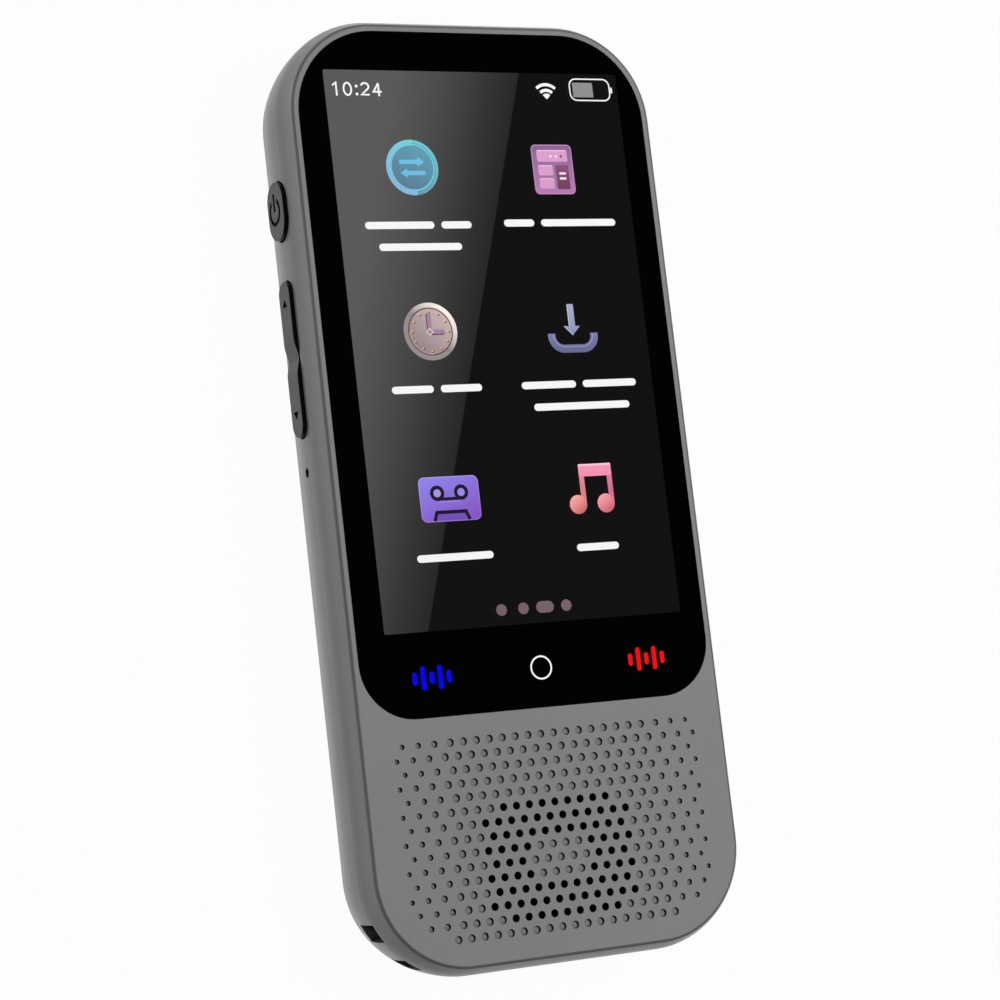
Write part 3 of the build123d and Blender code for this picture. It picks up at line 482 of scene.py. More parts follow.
def keyPlastic():
    # Black ABS keys: satin faces that pick up the surroundings, smoother moulded sides whose darker colour is
    # a painted shade, and laser-engraved marks whose floor is matt. A side is where the surface turns away
    # from X. A point belongs to a mark where it lies a step deeper than the face, and the face itself is
    # deeper in the dip about the rocker's middle
    look = {
        "body": "#111111", "worn": "#191919", "side": "#070707", "mark": "#030303",
        "rough": 0.4, "sideRough": 0.18, "markRough": 0.95, "drift": 1.5, "grain": 0.18, "depth": 0.01,
        "turn": 0.6, "face": -29.96, "step": 0.06, "middle": 19.7, "dip": 4.2, "dipDepth": 0.6,
    }
    material, tree, shader, place = newMaterial("engravedBlackAbs")
    split = addNode(tree, "ShaderNodeSeparateXYZ", None, {0: place}).outputs
    normal = addNode(tree, "ShaderNodeTexCoord").outputs["Normal"]
    facing = addNode(tree, "ShaderNodeSeparateXYZ", None, {0: normal}).outputs[0]
    facing = addNode(tree, "ShaderNodeMath", None, {0: facing}, operation="ABSOLUTE").outputs[0]
    side = addNode(
        tree, "ShaderNodeMath", {1: look["turn"]}, {0: facing}, operation="LESS_THAN"
    ).outputs[0]
    away = addNode(
        tree, "ShaderNodeMath", {1: look["middle"] * mm}, {0: split[1]}, operation="SUBTRACT"
    ).outputs[0]
    away = addNode(tree, "ShaderNodeMath", None, {0: away}, operation="ABSOLUTE").outputs[0]
    inDip = addNode(
        tree, "ShaderNodeMath", {1: look["dip"] * mm}, {0: away}, operation="LESS_THAN"
    ).outputs[0]
    edge = addNode(
        tree, "ShaderNodeMath", {1: look["dipDepth"] * mm, 2: (look["face"] + look["step"]) * mm},
        {0: inDip}, operation="MULTIPLY_ADD",
    ).outputs[0]
    engraved = addNode(
        tree, "ShaderNodeMath", None, {0: split[0], 1: edge}, operation="GREATER_THAN"
    ).outputs[0]
    drift, grain = [
        addNode(
            tree, "ShaderNodeTexNoise",
            {"Scale": 1 / (look[size] * mm), "Detail": detail}, {"Vector": place},
        ).outputs["Fac"]
        for size, detail in (("drift", 3.0), ("grain", 2.0))
    ]
    colour = addNode(
        tree, "ShaderNodeMix", {6: toLinear(look["body"]), 7: toLinear(look["worn"])}, {0: drift},
        data_type="RGBA",
    ).outputs[2]
    rough = addNode(tree, "ShaderNodeValue").outputs[0]
    rough.default_value = look["rough"]
    # The sides' darker colour is a painted shade; their lower roughness is their own
    for mask, shade, finish in (
        (engraved, look["mark"], look["markRough"]), (side, look["side"], look["sideRough"]),
    ):
        colour = addNode(
            tree, "ShaderNodeMix", {7: toLinear(shade)}, {0: mask, 6: colour}, data_type="RGBA"
        ).outputs[2]
        rough = addNode(tree, "ShaderNodeMix", {3: finish}, {0: mask, 2: rough}).outputs[0]
    bump = addNode(
        tree, "ShaderNodeBump", {"Distance": look["depth"] * mm, "Strength": 1.0}, {"Height": grain}
    ).outputs[0]
    fillSockets(tree, shader, None, {"Base Color": colour, "Roughness": rough, "Normal": bump})
    return material


def clearGlass():
    # Aluminosilicate cover glass with an anti-reflective coating: clear, polished, weak highlights.
    # Smears lift its roughness a little, up to the given value
    look = {"smear": 25, "rough": 0.02, "ior": 1.5, "specular": 0.25}
    material, tree, shader, place = newMaterial("coatedCoverGlass")
    smear = addNode(
        tree, "ShaderNodeTexNoise", {"Scale": 1 / (look["smear"] * mm), "Detail": 2.0}, {"Vector": place}
    ).outputs["Fac"]
    rough = addNode(tree, "ShaderNodeMapRange", {"To Max": look["rough"]}, {"Value": smear}).outputs[0]
    fillSockets(
        tree, shader,
        {
            "Base Color": (1, 1, 1, 1), "Transmission Weight": 1.0, "IOR": look["ior"],
            "Specular IOR Level": look["specular"],
        },
        {"Roughness": rough},
    )
    return material


def emitOnly(tree, shader, colour):
    # A lit picture gives light and reflects none. Its strength makes up for what the glass keeps
    strength = 1.08
    fillSockets(
        tree, shader,
        {
            "Base Color": (0, 0, 0, 1), "Specular IOR Level": 0.0, "Roughness": 1.0,
            "Emission Strength": strength,
        },
        {"Emission Color": colour},
    )


def litColour(name, low, high, lowPlace=(-20, -20), highPlace=(20, 60)):
    # A lit picture colour that runs from one shade at lowPlace to another at highPlace (mm, x and y).
    # Its share of the second is the way from the first place along their line, over its length
    material, tree, shader, place = newMaterial(name)
    start, end = np.array(lowPlace, float) * mm, np.array(highPlace, float) * mm
    along = (end - start) / np.dot(end - start, end - start)
    share = addNode(
        tree, "ShaderNodeVectorMath", {1: (along[0], along[1], 0)}, {0: place}, operation="DOT_PRODUCT"
    ).outputs["Value"]
    share = addNode(
        tree, "ShaderNodeMath", {1: float(-np.dot(start, along))}, {0: share}, operation="ADD",
        use_clamp=True,
    ).outputs[0]
    colour = addNode(
        tree, "ShaderNodeMix", {6: toLinear(low), 7: toLinear(high)}, {0: share}, data_type="RGBA"
    ).outputs[2]
    emitOnly(tree, shader, colour)
    return material


finishes = {slot: surfaceFinish(look) for slot, look in finishLooks.items()}
finishes["board"] = solderMask()
finishes["mesh"] = wovenScreen()
finishes["camera_glass"] = smokedGlass()
finishes["key_plastic"] = keyPlastic()
finishes["cover_glass"] = clearGlass()

for subpart in frame["record"]["subparts"]:
    node = nodes[subpart["node"]]
    node.data.materials.clear()
    node.data.materials.append(finishes[subpart["material_slot"]])
print("finishes on the frame's nodes:", len(finishes))


# The cover glass. Its print and the wallpaper, which carries a painted glare, are films under it, the
# pictures lie in layers on the wallpaper, and a clearance is left above the highest layer
glass = {
    "topRadius": 12.5, "lowRadius": 7.9, "edgeRound": 0.15, "roundSteps": 4, "cornerPoints": 28,
    "film": 0.012, "layer": 0.006, "layers": 6, "clearance": 0.004,
}
glassLow, glassHigh = (np.array(corner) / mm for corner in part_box("cover_glass"))
glassMiddle = (glassLow + glassHigh) / 2
glassSize = glassHigh - glassLow
filmLow = glassLow[2]
filmHigh = filmLow + glass["film"]
glassUnder = filmHigh + glass["layers"] * glass["layer"] + glass["clearance"]


def glassOutline(inset):
    # The glass's edge drawn in by the inset, or out where it is negative
    return roundedBox(
        glassMiddle[0], glassMiddle[1], glassSize[0] - 2 * inset, glassSize[1] - 2 * inset,
        glass["topRadius"] - inset, glass["cornerPoints"], glass["lowRadius"] - inset,
    )


def edgeRound(size, steps):
    # Quarter round: the inset grows as 1 - cos and the drop shrinks as 1 - sin
    turn = np.linspace(0, math.pi / 2, steps + 1)
    return list(zip(size * (1 - np.cos(turn)), size * (1 - np.sin(turn))))


glassLoops = [(glassOutline(0), glassUnder)]
for inset, drop in edgeRound(glass["edgeRound"], glass["roundSteps"]):
    glassLoops.append((glassOutline(inset), glassHigh[2] - drop))
coverGlass = makePiece("coverGlass", [(*stack(glassLoops), 0)], [finishes["cover_glass"]], smooth=True)
shade = coverGlass.modifiers.new("evenShade", "WEIGHTED_NORMAL")
shade.weight = 100
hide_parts("cover_glass")

screen = {"sides": (-22.84, 24.01, 59.96, -20.16), "corner": 0.25}
screenOutline = boxBetween(screen["sides"], screen["corner"], count=glass["cornerPoints"])

# Ink on the underside, from near the glass's edge to the screen, and a black bead of sealant that
# lies outside the edge, so that its insets are negative
ink = {"inset": 0.02}
sealant = {"inner": -0.01, "outer": -0.05, "below": 0.16}
glassPrint = makePiece(
    "glassPrint",
    [
        (*ringBand(screenOutline, glassOutline(ink["inset"]), filmLow, filmHigh), 0),
        (*ringBand(
            glassOutline(sealant["inner"]), glassOutline(sealant["outer"]),
            filmLow, glassHigh[2] - sealant["below"],
        ), 0),
    ],
    [printedInk()],
)


def wallpaperWithGlare():
    # Near black, with a painted glare, a grey reflection, on the left of a slanted line. The glare is darkest
    # at the line and grows paler with the distance from it, up to the fade's width
    look = {
        "base": "#111111", "lineTop": (8.12, 59.9), "lineLow": (-16.13, -20.13), "fade": 19.0, "edge": 0.12,
        "paintedGlare": ((0.0, "#272727"), (0.25, "#353535"), (0.5, "#454545"), (0.75, "#515151"), (1.0, "#5a5a5a")),
    }
    material, tree, shader, place = newMaterial("litWallpaperAndPaintedGlare")
    top, low = np.array(look["lineTop"]) * mm, np.array(look["lineLow"]) * mm
    along = (top - low) / np.linalg.norm(top - low)
    left = np.array([-along[1], along[0]])
    distance = addNode(
        tree, "ShaderNodeVectorMath", {1: (left[0], left[1], 0)}, {0: place}, operation="DOT_PRODUCT"
    ).outputs["Value"]
    distance = addNode(
        tree, "ShaderNodeMath", {1: float(-np.dot(low, left))}, {0: distance}, operation="ADD"
    ).outputs[0]
    inside, share = [
        addNode(tree, "ShaderNodeMapRange", {"From Max": look[reach] * mm}, {"Value": distance}).outputs[0]
        for reach in ("edge", "fade")
    ]
    shades = [(position, toLinear(shade)) for position, shade in look["paintedGlare"]]
    paintedGlare = addNode(tree, "ShaderNodeValToRGB", None, {0: share}, shades).outputs[0]
    colour = addNode(
        tree, "ShaderNodeMix", {6: toLinear(look["base"])}, {0: inside, 7: paintedGlare}, data_type="RGBA"
    ).outputs[2]
    emitOnly(tree, shader, colour)
    return material


screenPictureAndGlare = makePiece("screenPictureAndGlare", [(*plate(screenOutline, filmLow, filmHigh), 0)], [wallpaperWithGlare()])
print("glass, print and screen made")


def layer(number):
    # Low and high level of a picture's layer above the wallpaper
    return filmHigh + (number - 1) * glass["layer"], filmHigh + number * glass["layer"]


def flat(outline, number, tone):
    # A filled shape: its layer, and which of its picture's colours it has
    low, high = layer(number)
    return (*plate(outline, low, high), tone)


def line(path, width, number, tone, closed=False):
    # A stroke: its layer, and which of its picture's colours it has
    low, high = layer(number)
    return (*band(path, width, low, high, closed), tone)


white = litColour("litWhite", "#f4f4f4", "#fafafa")


def makePicture(name, parts, colours):
    # A picture in one or more lit colours, made as a piece that rides on the case
    piece = makePiece(name, parts, colours)
    return piece


def tones(name, x, y, reach, *rows):
    # Each row is (part, shade, shade, angle): a lit colour that runs across the picture along the
    # angle in degrees, from the first shade on one side of (x, y) to the second on the other
    made = []
    for part, low, high, angle in rows:
        turn = math.radians(angle)
        stepX, stepY = reach * math.cos(turn), reach * math.sin(turn)
        made.append(litColour(name + part, low, high, (x - stepX, y - stepY), (x + stepX, y + stepY)))
    return made


def makeExchangeMark():
    # A coin turned a little to the right: its rim is broad on the left, and thin with a groove on
    # the right. Two opposed arrows stand for an exchange
    coin = {
        "x": -10.65, "y": 45.8, "radius": 4.05, "face": 3.15, "fade": 4.0,
        "broadRim": 0.85, "thinRim": 0.48, "rimEnd": 84, "shine": 0.22, "shineRadius": 3.36, "shineEnd": 88,
    }
    arrow = {"length": 3.9, "apart": 1.62, "shaft": 0.62, "head": 1.1, "halfHead": 0.7}
    x, y, rimEnd, shineEnd = coin["x"], coin["y"], coin["rimEnd"], coin["shineEnd"]
    broad, thin = coin["broadRim"], coin["thinRim"]
    colours = tones(
        "coin", x, y, coin["fade"],
        ("Groove", "#4f88a4", "#4a9aa6", 45), ("BroadRim", "#86b8dc", "#78d2da", 60),
        ("ThinRim", "#6496ac", "#74c8cc", 60), ("Face", "#5b7a94", "#64a2b6", 60),
        ("Arrow", "#70bce8", "#6cc4e4", 90), ("Shine", "#80cce6", "#78c6ea", 90),
    )
    parts = [
        flat(circle(x, y, coin["radius"]), 1, 0),
        line(arcPath(x, y, coin["radius"] - broad / 2, rimEnd, 360 - rimEnd, 40), broad, 2, 1),
        line(arcPath(x, y, coin["radius"] - thin / 2, -rimEnd, rimEnd, 36), thin, 2, 2),
        line(arcPath(x, y, coin["shineRadius"], -shineEnd, shineEnd, 36), coin["shine"], 3, 5),
        flat(circle(x, y, coin["face"]), 2, 3),
    ]
    for side in (1, -1):
        level = y + side * arrow["apart"] / 2
        tip, tail = x + side * arrow["length"] / 2, x - side * arrow["length"] / 2
        neck = tip - side * arrow["head"]
        parts.append(line(np.array([(tail, level), (neck, level)]), arrow["shaft"], 3, 4))
        half = arrow["halfHead"]
        parts.append(flat(np.array([(tip, level), (neck, level + half), (neck, level - half)]), 4, 4))
    makePicture("exchangeMark", parts, colours)


def makeCalculatorMark():
    # A pad with three light tiles and a tall dark one. Dots stand on the widest tile and two bars
    # on the dark one. Each light tile has a paler strip along its top
    pad = {"sides": (8.55, 15.15, 49.25, 41.85), "corner": 0.75, "edge": 0.15}
    tiles = {
        "light": ((9.4, 14.35, 48.45, 46.7), (9.4, 11.8, 46.2, 44.65), (9.4, 11.8, 44.25, 42.7)),
        "dark": (12.25, 14.35, 46.2, 42.6), "corner": 0.22, "strip": 0.2, "stripInset": 0.15,
    }
    bars = {"x": 13.3, "levels": (44.95, 44.2), "width": 1.1, "height": 0.35, "corner": 0.15}
    dots = {"y": 47.5, "radius": 0.21, "bright": (11.65, 12.5), "dark": (13.35,)}
    left, right, top, low = pad["sides"]
    colours = tones(
        "pad", (left + right) / 2, (top + low) / 2, (top - low) / 2,
        ("Edge", "#c98cc6", "#bb92c2", 90), ("Body", "#b57eb0", "#8f6697", 90),
        ("Tile", "#dc9ecb", "#dda2cd", 90), ("TileTop", "#eab6dc", "#efc2e6", 90),
        ("Dark", "#6c3a5a", "#9c6484", 90), ("Bright", "#f6dfe4", "#ffe0f2", 90),
    )
    parts = [
        flat(boxBetween(pad["sides"], pad["corner"]), 1, 0),
        flat(boxBetween(pad["sides"], pad["corner"], pad["edge"]), 2, 1),
    ]
    for left, right, top, low in tiles["light"]:
        strip = (left + tiles["stripInset"], right - tiles["stripInset"], top, top - tiles["strip"])
        parts.append(flat(boxBetween((left, right, top, low), tiles["corner"]), 3, 2))
        parts.append(flat(boxBetween(strip, tiles["strip"] / 2), 4, 3))
    parts.append(flat(boxBetween(tiles["dark"], tiles["corner"]), 3, 4))
    for level in bars["levels"]:
        bar = roundedBox(bars["x"], level, bars["width"], bars["height"], bars["corner"])
        parts.append(flat(bar, 4, 5))
    for places, tone in ((dots["bright"], 5), (dots["dark"], 4)):
        parts += [flat(circle(place, dots["y"], dots["radius"], 16), 4, tone) for place in places]
    makePicture("calculatorMark", parts, colours)


def makeClockMark():
    # A dial with a bright rim, a dot for each hour, two hands, and a square hub that stands on a
    # corner. Dots and hands have a shade each
    clock = {"x": -10.7, "y": 22.05, "radius": 4.15, "rim": 0.7, "face": 3.28, "fade": 3.0, "rimFade": 2.6}
    glint = {"inset": 0.05, "line": 0.12, "start": 180, "end": 275}
    dots = {"reach": 2.82, "radius": 0.2, "share": 0.8, "shade": 0.06, "lift": 0.04}
    hands = {"width": 0.62, "corner": 0.28, "long": 2.3, "short": 1.85, "side": 0.05, "shade": 0.16}
    hub = {"side": 0.12, "drop": 0.05, "radius": 0.36, "rim": 0.24}
    x, y, rim = clock["x"], clock["y"], clock["rim"]
    rimPlace = (x + clock["rimFade"], y + clock["rimFade"])
    colours = [litColour("clockRim", "#958c8e", "#fbefe9", (x, y), rimPlace)]
    colours += tones(
        "clock", x, y, clock["fade"],
        ("Glint", "#b9a8aa", "#fbefe9", 45), ("Groove", "#54443f", "#453c39", 45),
        ("Face", "#93858a", "#c6b2b2", 45),
        ("Dot", "#e0a878", "#ecb88a", 45), ("DotShade", "#8a5436", "#7c4a34", 45),
        ("Hand", "#a5809c", "#a3869a", 45), ("HandShade", "#5e4852", "#5e4852", 45),
        ("Hub", "#8f7687", "#a890a0", 45),
    )
    glintPath = arcPath(x, y, clock["face"] - glint["inset"], glint["start"], glint["end"], 24)
    parts = [
        flat(circle(x, y, clock["radius"]), 1, 2),
        line(circle(x, y, clock["radius"] - rim / 2), rim, 2, 0, closed=True),
        flat(circle(x, y, clock["face"]), 2, 3),
        line(glintPath, glint["line"], 3, 1),
    ]
    # Of a dot's shade and its light middle: the shift to the lower right, radius, layer and colour
    rounds = (
        (dots["shade"], dots["radius"], 3, 5), (-dots["lift"], dots["radius"] * dots["share"], 4, 4),
    )
    for hour in range(12):
        turn = math.radians(30 * hour)
        dotX, dotY = x + dots["reach"] * math.sin(turn), y + dots["reach"] * math.cos(turn)
        for shift, radius, number, tone in rounds:
            parts.append(flat(circle(dotX + shift, dotY - shift, radius, 16), number, tone))
    # Each hand's middle, width and height, and how far its shade is moved
    width, side, shade = hands["width"], hands["side"], hands["shade"]
    for handX, handY, across, tall, shadeX, shadeY in (
        (x - side, y + hands["long"] / 2, width, hands["long"] + width, -shade, 0),
        (x + hands["short"] / 2, y - side, hands["short"] + width, width, 0, -shade),
    ):
        shadeBox = roundedBox(handX + shadeX, handY + shadeY, across, tall, hands["corner"])
        parts.append(flat(shadeBox, 3, 7))
        parts.append(flat(roundedBox(handX, handY, across, tall, hands["corner"]), 4, 6))
    for radius, number, tone in ((hub["radius"] + hub["rim"], 5, 1), (hub["radius"], 6, 8)):
        parts.append(flat(circle(x - hub["side"], y - hub["drop"], radius, 4), number, tone))
    makePicture("clockMark", parts, colours)


def makeDownloadMark():
    # An arrow that points down into a tray with two round corners. Fine lighter lines follow the
    # arrow's left edges and the tray's inside, which is the tray's path moved a share of the way to
    # a focus above it
    arrow = {"x": 11.88, "top": 25.4, "neck": 22.2, "tip": 21.0, "shaft": 1.05, "corner": 0.15}
    head = {"half": 1.28, "lift": 0.1}
    tray = {"left": 8.4, "right": 15.3, "top": 21.25, "low": 19.0, "bend": 1.9, "line": 1.2}
    edge = {"line": 0.14, "inset": 0.08, "drop": 0.1, "focus": 1.5, "share": 0.075}
    fade = {"middle": 22.0, "reach": 3.4}
    x, neck, corner, half = arrow["x"], arrow["neck"], arrow["corner"], arrow["shaft"] / 2
    colours = tones(
        "download", x, fade["middle"], fade["reach"],
        ("Arrow", "#7d83b4", "#a9acc8", 90), ("ArrowEdge", "#b8bad0", "#c4c6d8", 90),
        ("Tray", "#666a94", "#9498b8", 90), ("TrayEdge", "#8f92b0", "#b4b8cc", 90),
    )
    shaft = boxBetween((x - half, x + half, arrow["top"] + corner, neck - corner), corner)
    edgeX = x - half + edge["inset"]
    edgePath = np.array([(edgeX, arrow["top"] - edge["drop"]), (edgeX, neck)])
    shoulder = neck + head["lift"]
    headPath = np.array([(x - head["half"], shoulder), (x, arrow["tip"]), (x + head["half"], shoulder)])
    bend, low = tray["bend"], tray["low"]
    path = np.concatenate([
        [(tray["left"], tray["top"])],
        arcPath(tray["left"] + bend, low + bend, bend, 180, 270, 12),
        arcPath(tray["right"] - bend, low + bend, bend, 270, 360, 12),
        [(tray["right"], tray["top"])],
    ])
    focus = np.array([(x, tray["top"] + edge["focus"])])
    inner = path + (focus - path) * edge["share"]
    parts = [
        line(path, tray["line"], 1, 2),
        line(inner[1:-1], edge["line"], 2, 3),
        flat(shaft, 1, 0),
        line(edgePath, edge["line"], 2, 1),
        flat(headPath, 3, 0),
        line(headPath[:2], edge["line"], 4, 1),
    ]
    makePicture("downloadMark", parts, colours)


def makeRecorderMark():
    # A tape cassette: two reels, a window and a groove below them, and a foot with a dark line
    # round its top and sides
    tape = {"sides": (-15.25, -6.0, 1.35, -5.0), "corner": 0.9, "edge": 0.12, "fade": 3.6}
    reels = {"places": (-12.5, -8.8), "y": -0.97, "radius": 1.1, "hub": 0.57}
    window = {"drop": 0.85, "width": 3.4, "height": 0.45, "corner": 0.2}
    groove = {"drop": 1.25, "half": 1.6, "line": 0.12}
    foot = {"low": (-13.3, -7.85), "top": (-12.85, -8.35), "high": -3.68, "line": 0.5}
    left, right, top, low = tape["sides"]
    x, y = (left + right) / 2, (top + low) / 2
    colours = tones(
        "tape", x, y, tape["fade"],
        ("Edge", "#9a74d0", "#b0a2ee", 110), ("Body", "#8656c2", "#9081ea", 110),
        ("Dark", "#1c1a28", "#22202e", 90), ("Hub", "#9a80e6", "#a69cda", 150),
        ("Foot", "#7450b6", "#7a55c0", 90),
    )
    windowY, grooveY = reels["y"] - window["drop"], reels["y"] - groove["drop"]
    grooveEnds = np.array([(x - groove["half"], grooveY), (x + groove["half"], grooveY)])
    parts = [
        flat(boxBetween(tape["sides"], tape["corner"]), 1, 0),
        flat(boxBetween(tape["sides"], tape["corner"], tape["edge"]), 2, 1),
        flat(roundedBox(x, windowY, window["width"], window["height"], window["corner"]), 3, 2),
        line(grooveEnds, groove["line"], 3, 0),
    ]
    middle, breadth = (reels["radius"] + reels["hub"]) / 2, reels["radius"] - reels["hub"]
    for place in reels["places"]:
        parts.append(line(circle(place, reels["y"], middle, 32), breadth, 4, 2, closed=True))
        parts.append(flat(circle(place, reels["y"], reels["hub"], 24), 5, 3))
    footLow = low + tape["edge"]
    footPath = np.array([
        (foot["low"][0], footLow), (foot["top"][0], foot["high"]),
        (foot["top"][1], foot["high"]), (foot["low"][1], footLow),
    ])
    parts.append(flat(footPath, 3, 4))
    parts.append(line(footPath, foot["line"], 4, 2))
    makePicture("recorderMark", parts, colours)


def makeMusicMark():
    # Two joined notes: a beam with a paler strip along its top, and a stem and a round head each
    beam = {"sides": (10.1, 15.4, 2.1, 0.3), "corner": 0.15, "fade": 2.2}
    strip = {"height": 0.28, "inset": 0.05, "corner": 0.1}
    notes = {
        "y": -3.7, "stem": 0.8, "stemLift": 0.1, "head": 1.38, "places": (9.5, 14.0),
        "shades": (("#c86260", "#ffaca8"), ("#cc6070", "#ffa2b0")), "angle": 125,
    }
    left, right, top, low = beam["sides"]
    colours = tones(
        "note", (left + right) / 2, low, beam["fade"],
        ("Beam", "#dc86a0", "#ff9abc", 90), ("BeamTop", "#f4b0c8", "#ffd0dc", 90),
        ("LeftStem", "#dc7f84", "#e290a2", 90), ("RightStem", "#d86e90", "#e588aa", 90),
    )
    for place, shades in zip(notes["places"], notes["shades"]):
        name = "noteHead%d" % len(colours)
        colours += tones(name, place, notes["y"], notes["head"], ("", *shades, notes["angle"]))
    stripSides = (left + strip["inset"], right - strip["inset"], top, top - strip["height"])
    parts = [
        flat(boxBetween(beam["sides"], beam["corner"]), 2, 0),
        flat(boxBetween(stripSides, strip["corner"]), 3, 1),
    ]
    half, middle, stemLow = notes["stem"] / 2, (top + low) / 2, notes["y"] + notes["stemLift"]
    for number, stemX in enumerate((left + half, right - half)):
        stem = np.array([(stemX, middle), (stemX, stemLow)])
        head = circle(notes["places"][number], notes["y"], notes["head"], 40)
        parts.append(line(stem, notes["stem"], 1, 2 + number))
        parts.append(flat(head, 3, 4 + number))
    makePicture("musicMark", parts, colours)


def makeCaptions():
    # Each caption is a row of rounded bars, one for each word, in place of lettering.
    # A row gives its left and right end, its middle line and the share of each word
    captions = {
        "height": 1.05, "gap": 1.1,
        "rows": (
            (-18.95, -2.35, 37.41, (9, 4)), (-17.15, -4.25, 34.26, (10,)), (2.85, 21.05, 37.61, (4, 10)),
            (-17.65, -3.65, 13.81, (5, 5)), (2.65, 21.25, 13.81, (7, 7)), (4.25, 19.75, 10.61, (10,)),
            (-16.65, -4.85, -10.04, (9,)), (8.45, 15.25, -9.89, (5,)),
        ),
    }
    height = captions["height"]
    parts = []
    for left, right, middle, words in captions["rows"]:
        room = right - left - captions["gap"] * (len(words) - 1)
        at = left
        for letters in words:
            length = room * letters / sum(words)
            parts.append(flat(roundedBox(at + length / 2, middle, length, height, height / 2), 1, 0))
            at += length + captions["gap"]
    makePicture("captionBars", parts, [white])


def makeStatusMarks():
    # The signal is a wedge under two arcs, which spread by an angle to both sides of upright. The
    # charge is an outlined shell with a grey filling and a nub
    signal = {
        "x": 12.2, "y": 56.0, "radii": (1.65, 2.5), "line": 0.45, "spread": 42, "wedge": 0.93, "tip": 0.05,
    }
    charge = {
        "shell": (16.05, 22.85, 59.3, 55.88), "corner": 1.15, "line": 0.2,
        "fill": (16.62, 19.95, 58.65, 56.45), "nub": (22.9, 23.2, 58.0, 57.1), "innerCorner": 0.15,
    }
    grey = litColour("chargeGrey", "#8f8f8f", "#939393", (16, 55), (20, 60))
    x, y, width = signal["x"], signal["y"], signal["line"]
    spread = (90 - signal["spread"], 90 + signal["spread"])
    wedge = np.concatenate([[(x, y + signal["tip"])], arcPath(x, y, signal["wedge"], *spread, 10)])
    parts = [flat(wedge, 1, 0)]
    for radius in signal["radii"]:
        parts.append(line(arcPath(x, y, radius - width / 2, *spread, 20), width, 1, 0))
    shell = boxBetween(charge["shell"], charge["corner"], charge["line"] / 2)
    parts.append(line(shell, charge["line"], 1, 0, closed=True))
    for sides, tone in ((charge["fill"], 1), (charge["nub"], 0)):
        parts.append(flat(boxBetween(sides, charge["innerCorner"]), 1, tone))
    makePicture("statusMarks", parts, [white, grey])


def makeClockDigits():
    # Plain numbers drawn with strokes: each stroke's points lie in a box one unit wide and high
    digits = {
        "low": 56.28, "high": 58.07, "width": 1.16, "line": 0.27,
        "places": ((-21.05, "1"), (-19.35, "0"), (-16.65, "2"), (-14.8, "4")),
    }
    colon = {"x": -17.95, "levels": (57.6, 56.45), "radius": 0.22}
    curl = {"y": 0.72, "radius": 0.5, "start": 165, "end": -38, "squash": 0.88}
    height = digits["high"] - digits["low"]
    # The curl of the two is an arc made round on the screen, and then a little flatter
    bow = arcPath(0.5, curl["y"], curl["radius"], curl["start"], curl["end"], 16)
    bow[:, 1] = curl["y"] + (bow[:, 1] - curl["y"]) * digits["width"] / height * curl["squash"]
    strokes = {
        "1": ([(0.0, 0.78), (0.5, 1.0), (0.5, -0.06)],),
        "0": (arcPath(0.5, 0.5, 0.5, 0, 345, 24),),
        "2": (np.concatenate([bow, [(0.0, 0.05), (1.05, 0.05)]]),),
        "4": ([(0.72, -0.06), (0.72, 1.0)], [(0.72, 1.0), (0.0, 0.3), (1.1, 0.3)]),
    }
    parts = []
    for middle, digit in digits["places"]:
        for number, stroke in enumerate(strokes[digit]):
            path = np.array(stroke) * (digits["width"], height)
            path += (middle - digits["width"] / 2, digits["low"])
            parts.append(line(path, digits["line"], 1 + number, 0, closed=digit == "0"))
    for level in colon["levels"]:
        parts.append(flat(circle(colon["x"], level, colon["radius"], 16), 1, 0))
    makePicture("clockDigits", parts, [white])


def makePageDots():
    # Three dots and a wider pill for the page that shows
    dots = {"y": -17.95, "places": (-4.6, -1.15, 5.65), "radius": 0.825}
    pill = {"x": 2.25, "width": 2.8, "height": 1.65}
    mauve = litColour("pageMauve", "#736066", "#766468", (-6, -19), (6, -17))
    parts = [flat(circle(x, dots["y"], dots["radius"], 32), 1, 0) for x in dots["places"]]
    pillBox = roundedBox(pill["x"], dots["y"], pill["width"], pill["height"], pill["height"] / 2)
    parts.append(flat(pillBox, 1, 0))
    makePicture("pageDots", parts, [mauve])


def makeTouchMarks():
    # Two wave marks of five round-ended bars each, and a ring between them
    waves = {
        "blueWaveMark": {"x": -16.4, "y": -26.55, "width": 0.75, "tone": "#0705e8"},
        "redWaveMark": {"x": 17.5, "y": -26.45, "width": 0.72, "tone": "#f01012"},
    }
    bars = {"pitch": 1.3, "heights": (1.78, 3.36, 1.72, 3.36, 1.78)}
    home = {"x": 0.55, "y": -26.45, "radius": 1.58, "line": 0.24, "tone": "#fafafa"}
    for name, wave in waves.items():
        width = wave["width"]
        parts = []
        for step, height in enumerate(bars["heights"]):
            x = wave["x"] + (step - 2) * bars["pitch"]
            parts.append(flat(roundedBox(x, wave["y"], width, height, width / 2), 1, 0))
        makePicture(name, parts, [litColour(name + "Tone", wave["tone"], wave["tone"])])
    path = circle(home["x"], home["y"], home["radius"], 64)
    tone = litColour("ringTone", home["tone"], home["tone"])
    makePicture("homeRingMark", [line(path, home["line"], 1, 0, closed=True)], [tone])


for makeMark in (
    makeExchangeMark, makeCalculatorMark, makeClockMark, makeDownloadMark, makeRecorderMark,
    makeMusicMark, makeCaptions, makeStatusMarks, makeClockDigits, makePageDots, makeTouchMarks,
):
    makeMark()
print("screen pictures made")


def raysThat(tree, *kinds):
    # 1 for a ray of any of the given kinds, else 0
    rays = addNode(tree, "ShaderNodeLightPath").outputs
    found = rays[kinds[0]]
    for kind in kinds[1:]:
        found = addNode(
            tree, "ShaderNodeMath", None, {0: found, 1: rays[kind]}, operation="MAXIMUM"
        ).outputs[0]
    return found


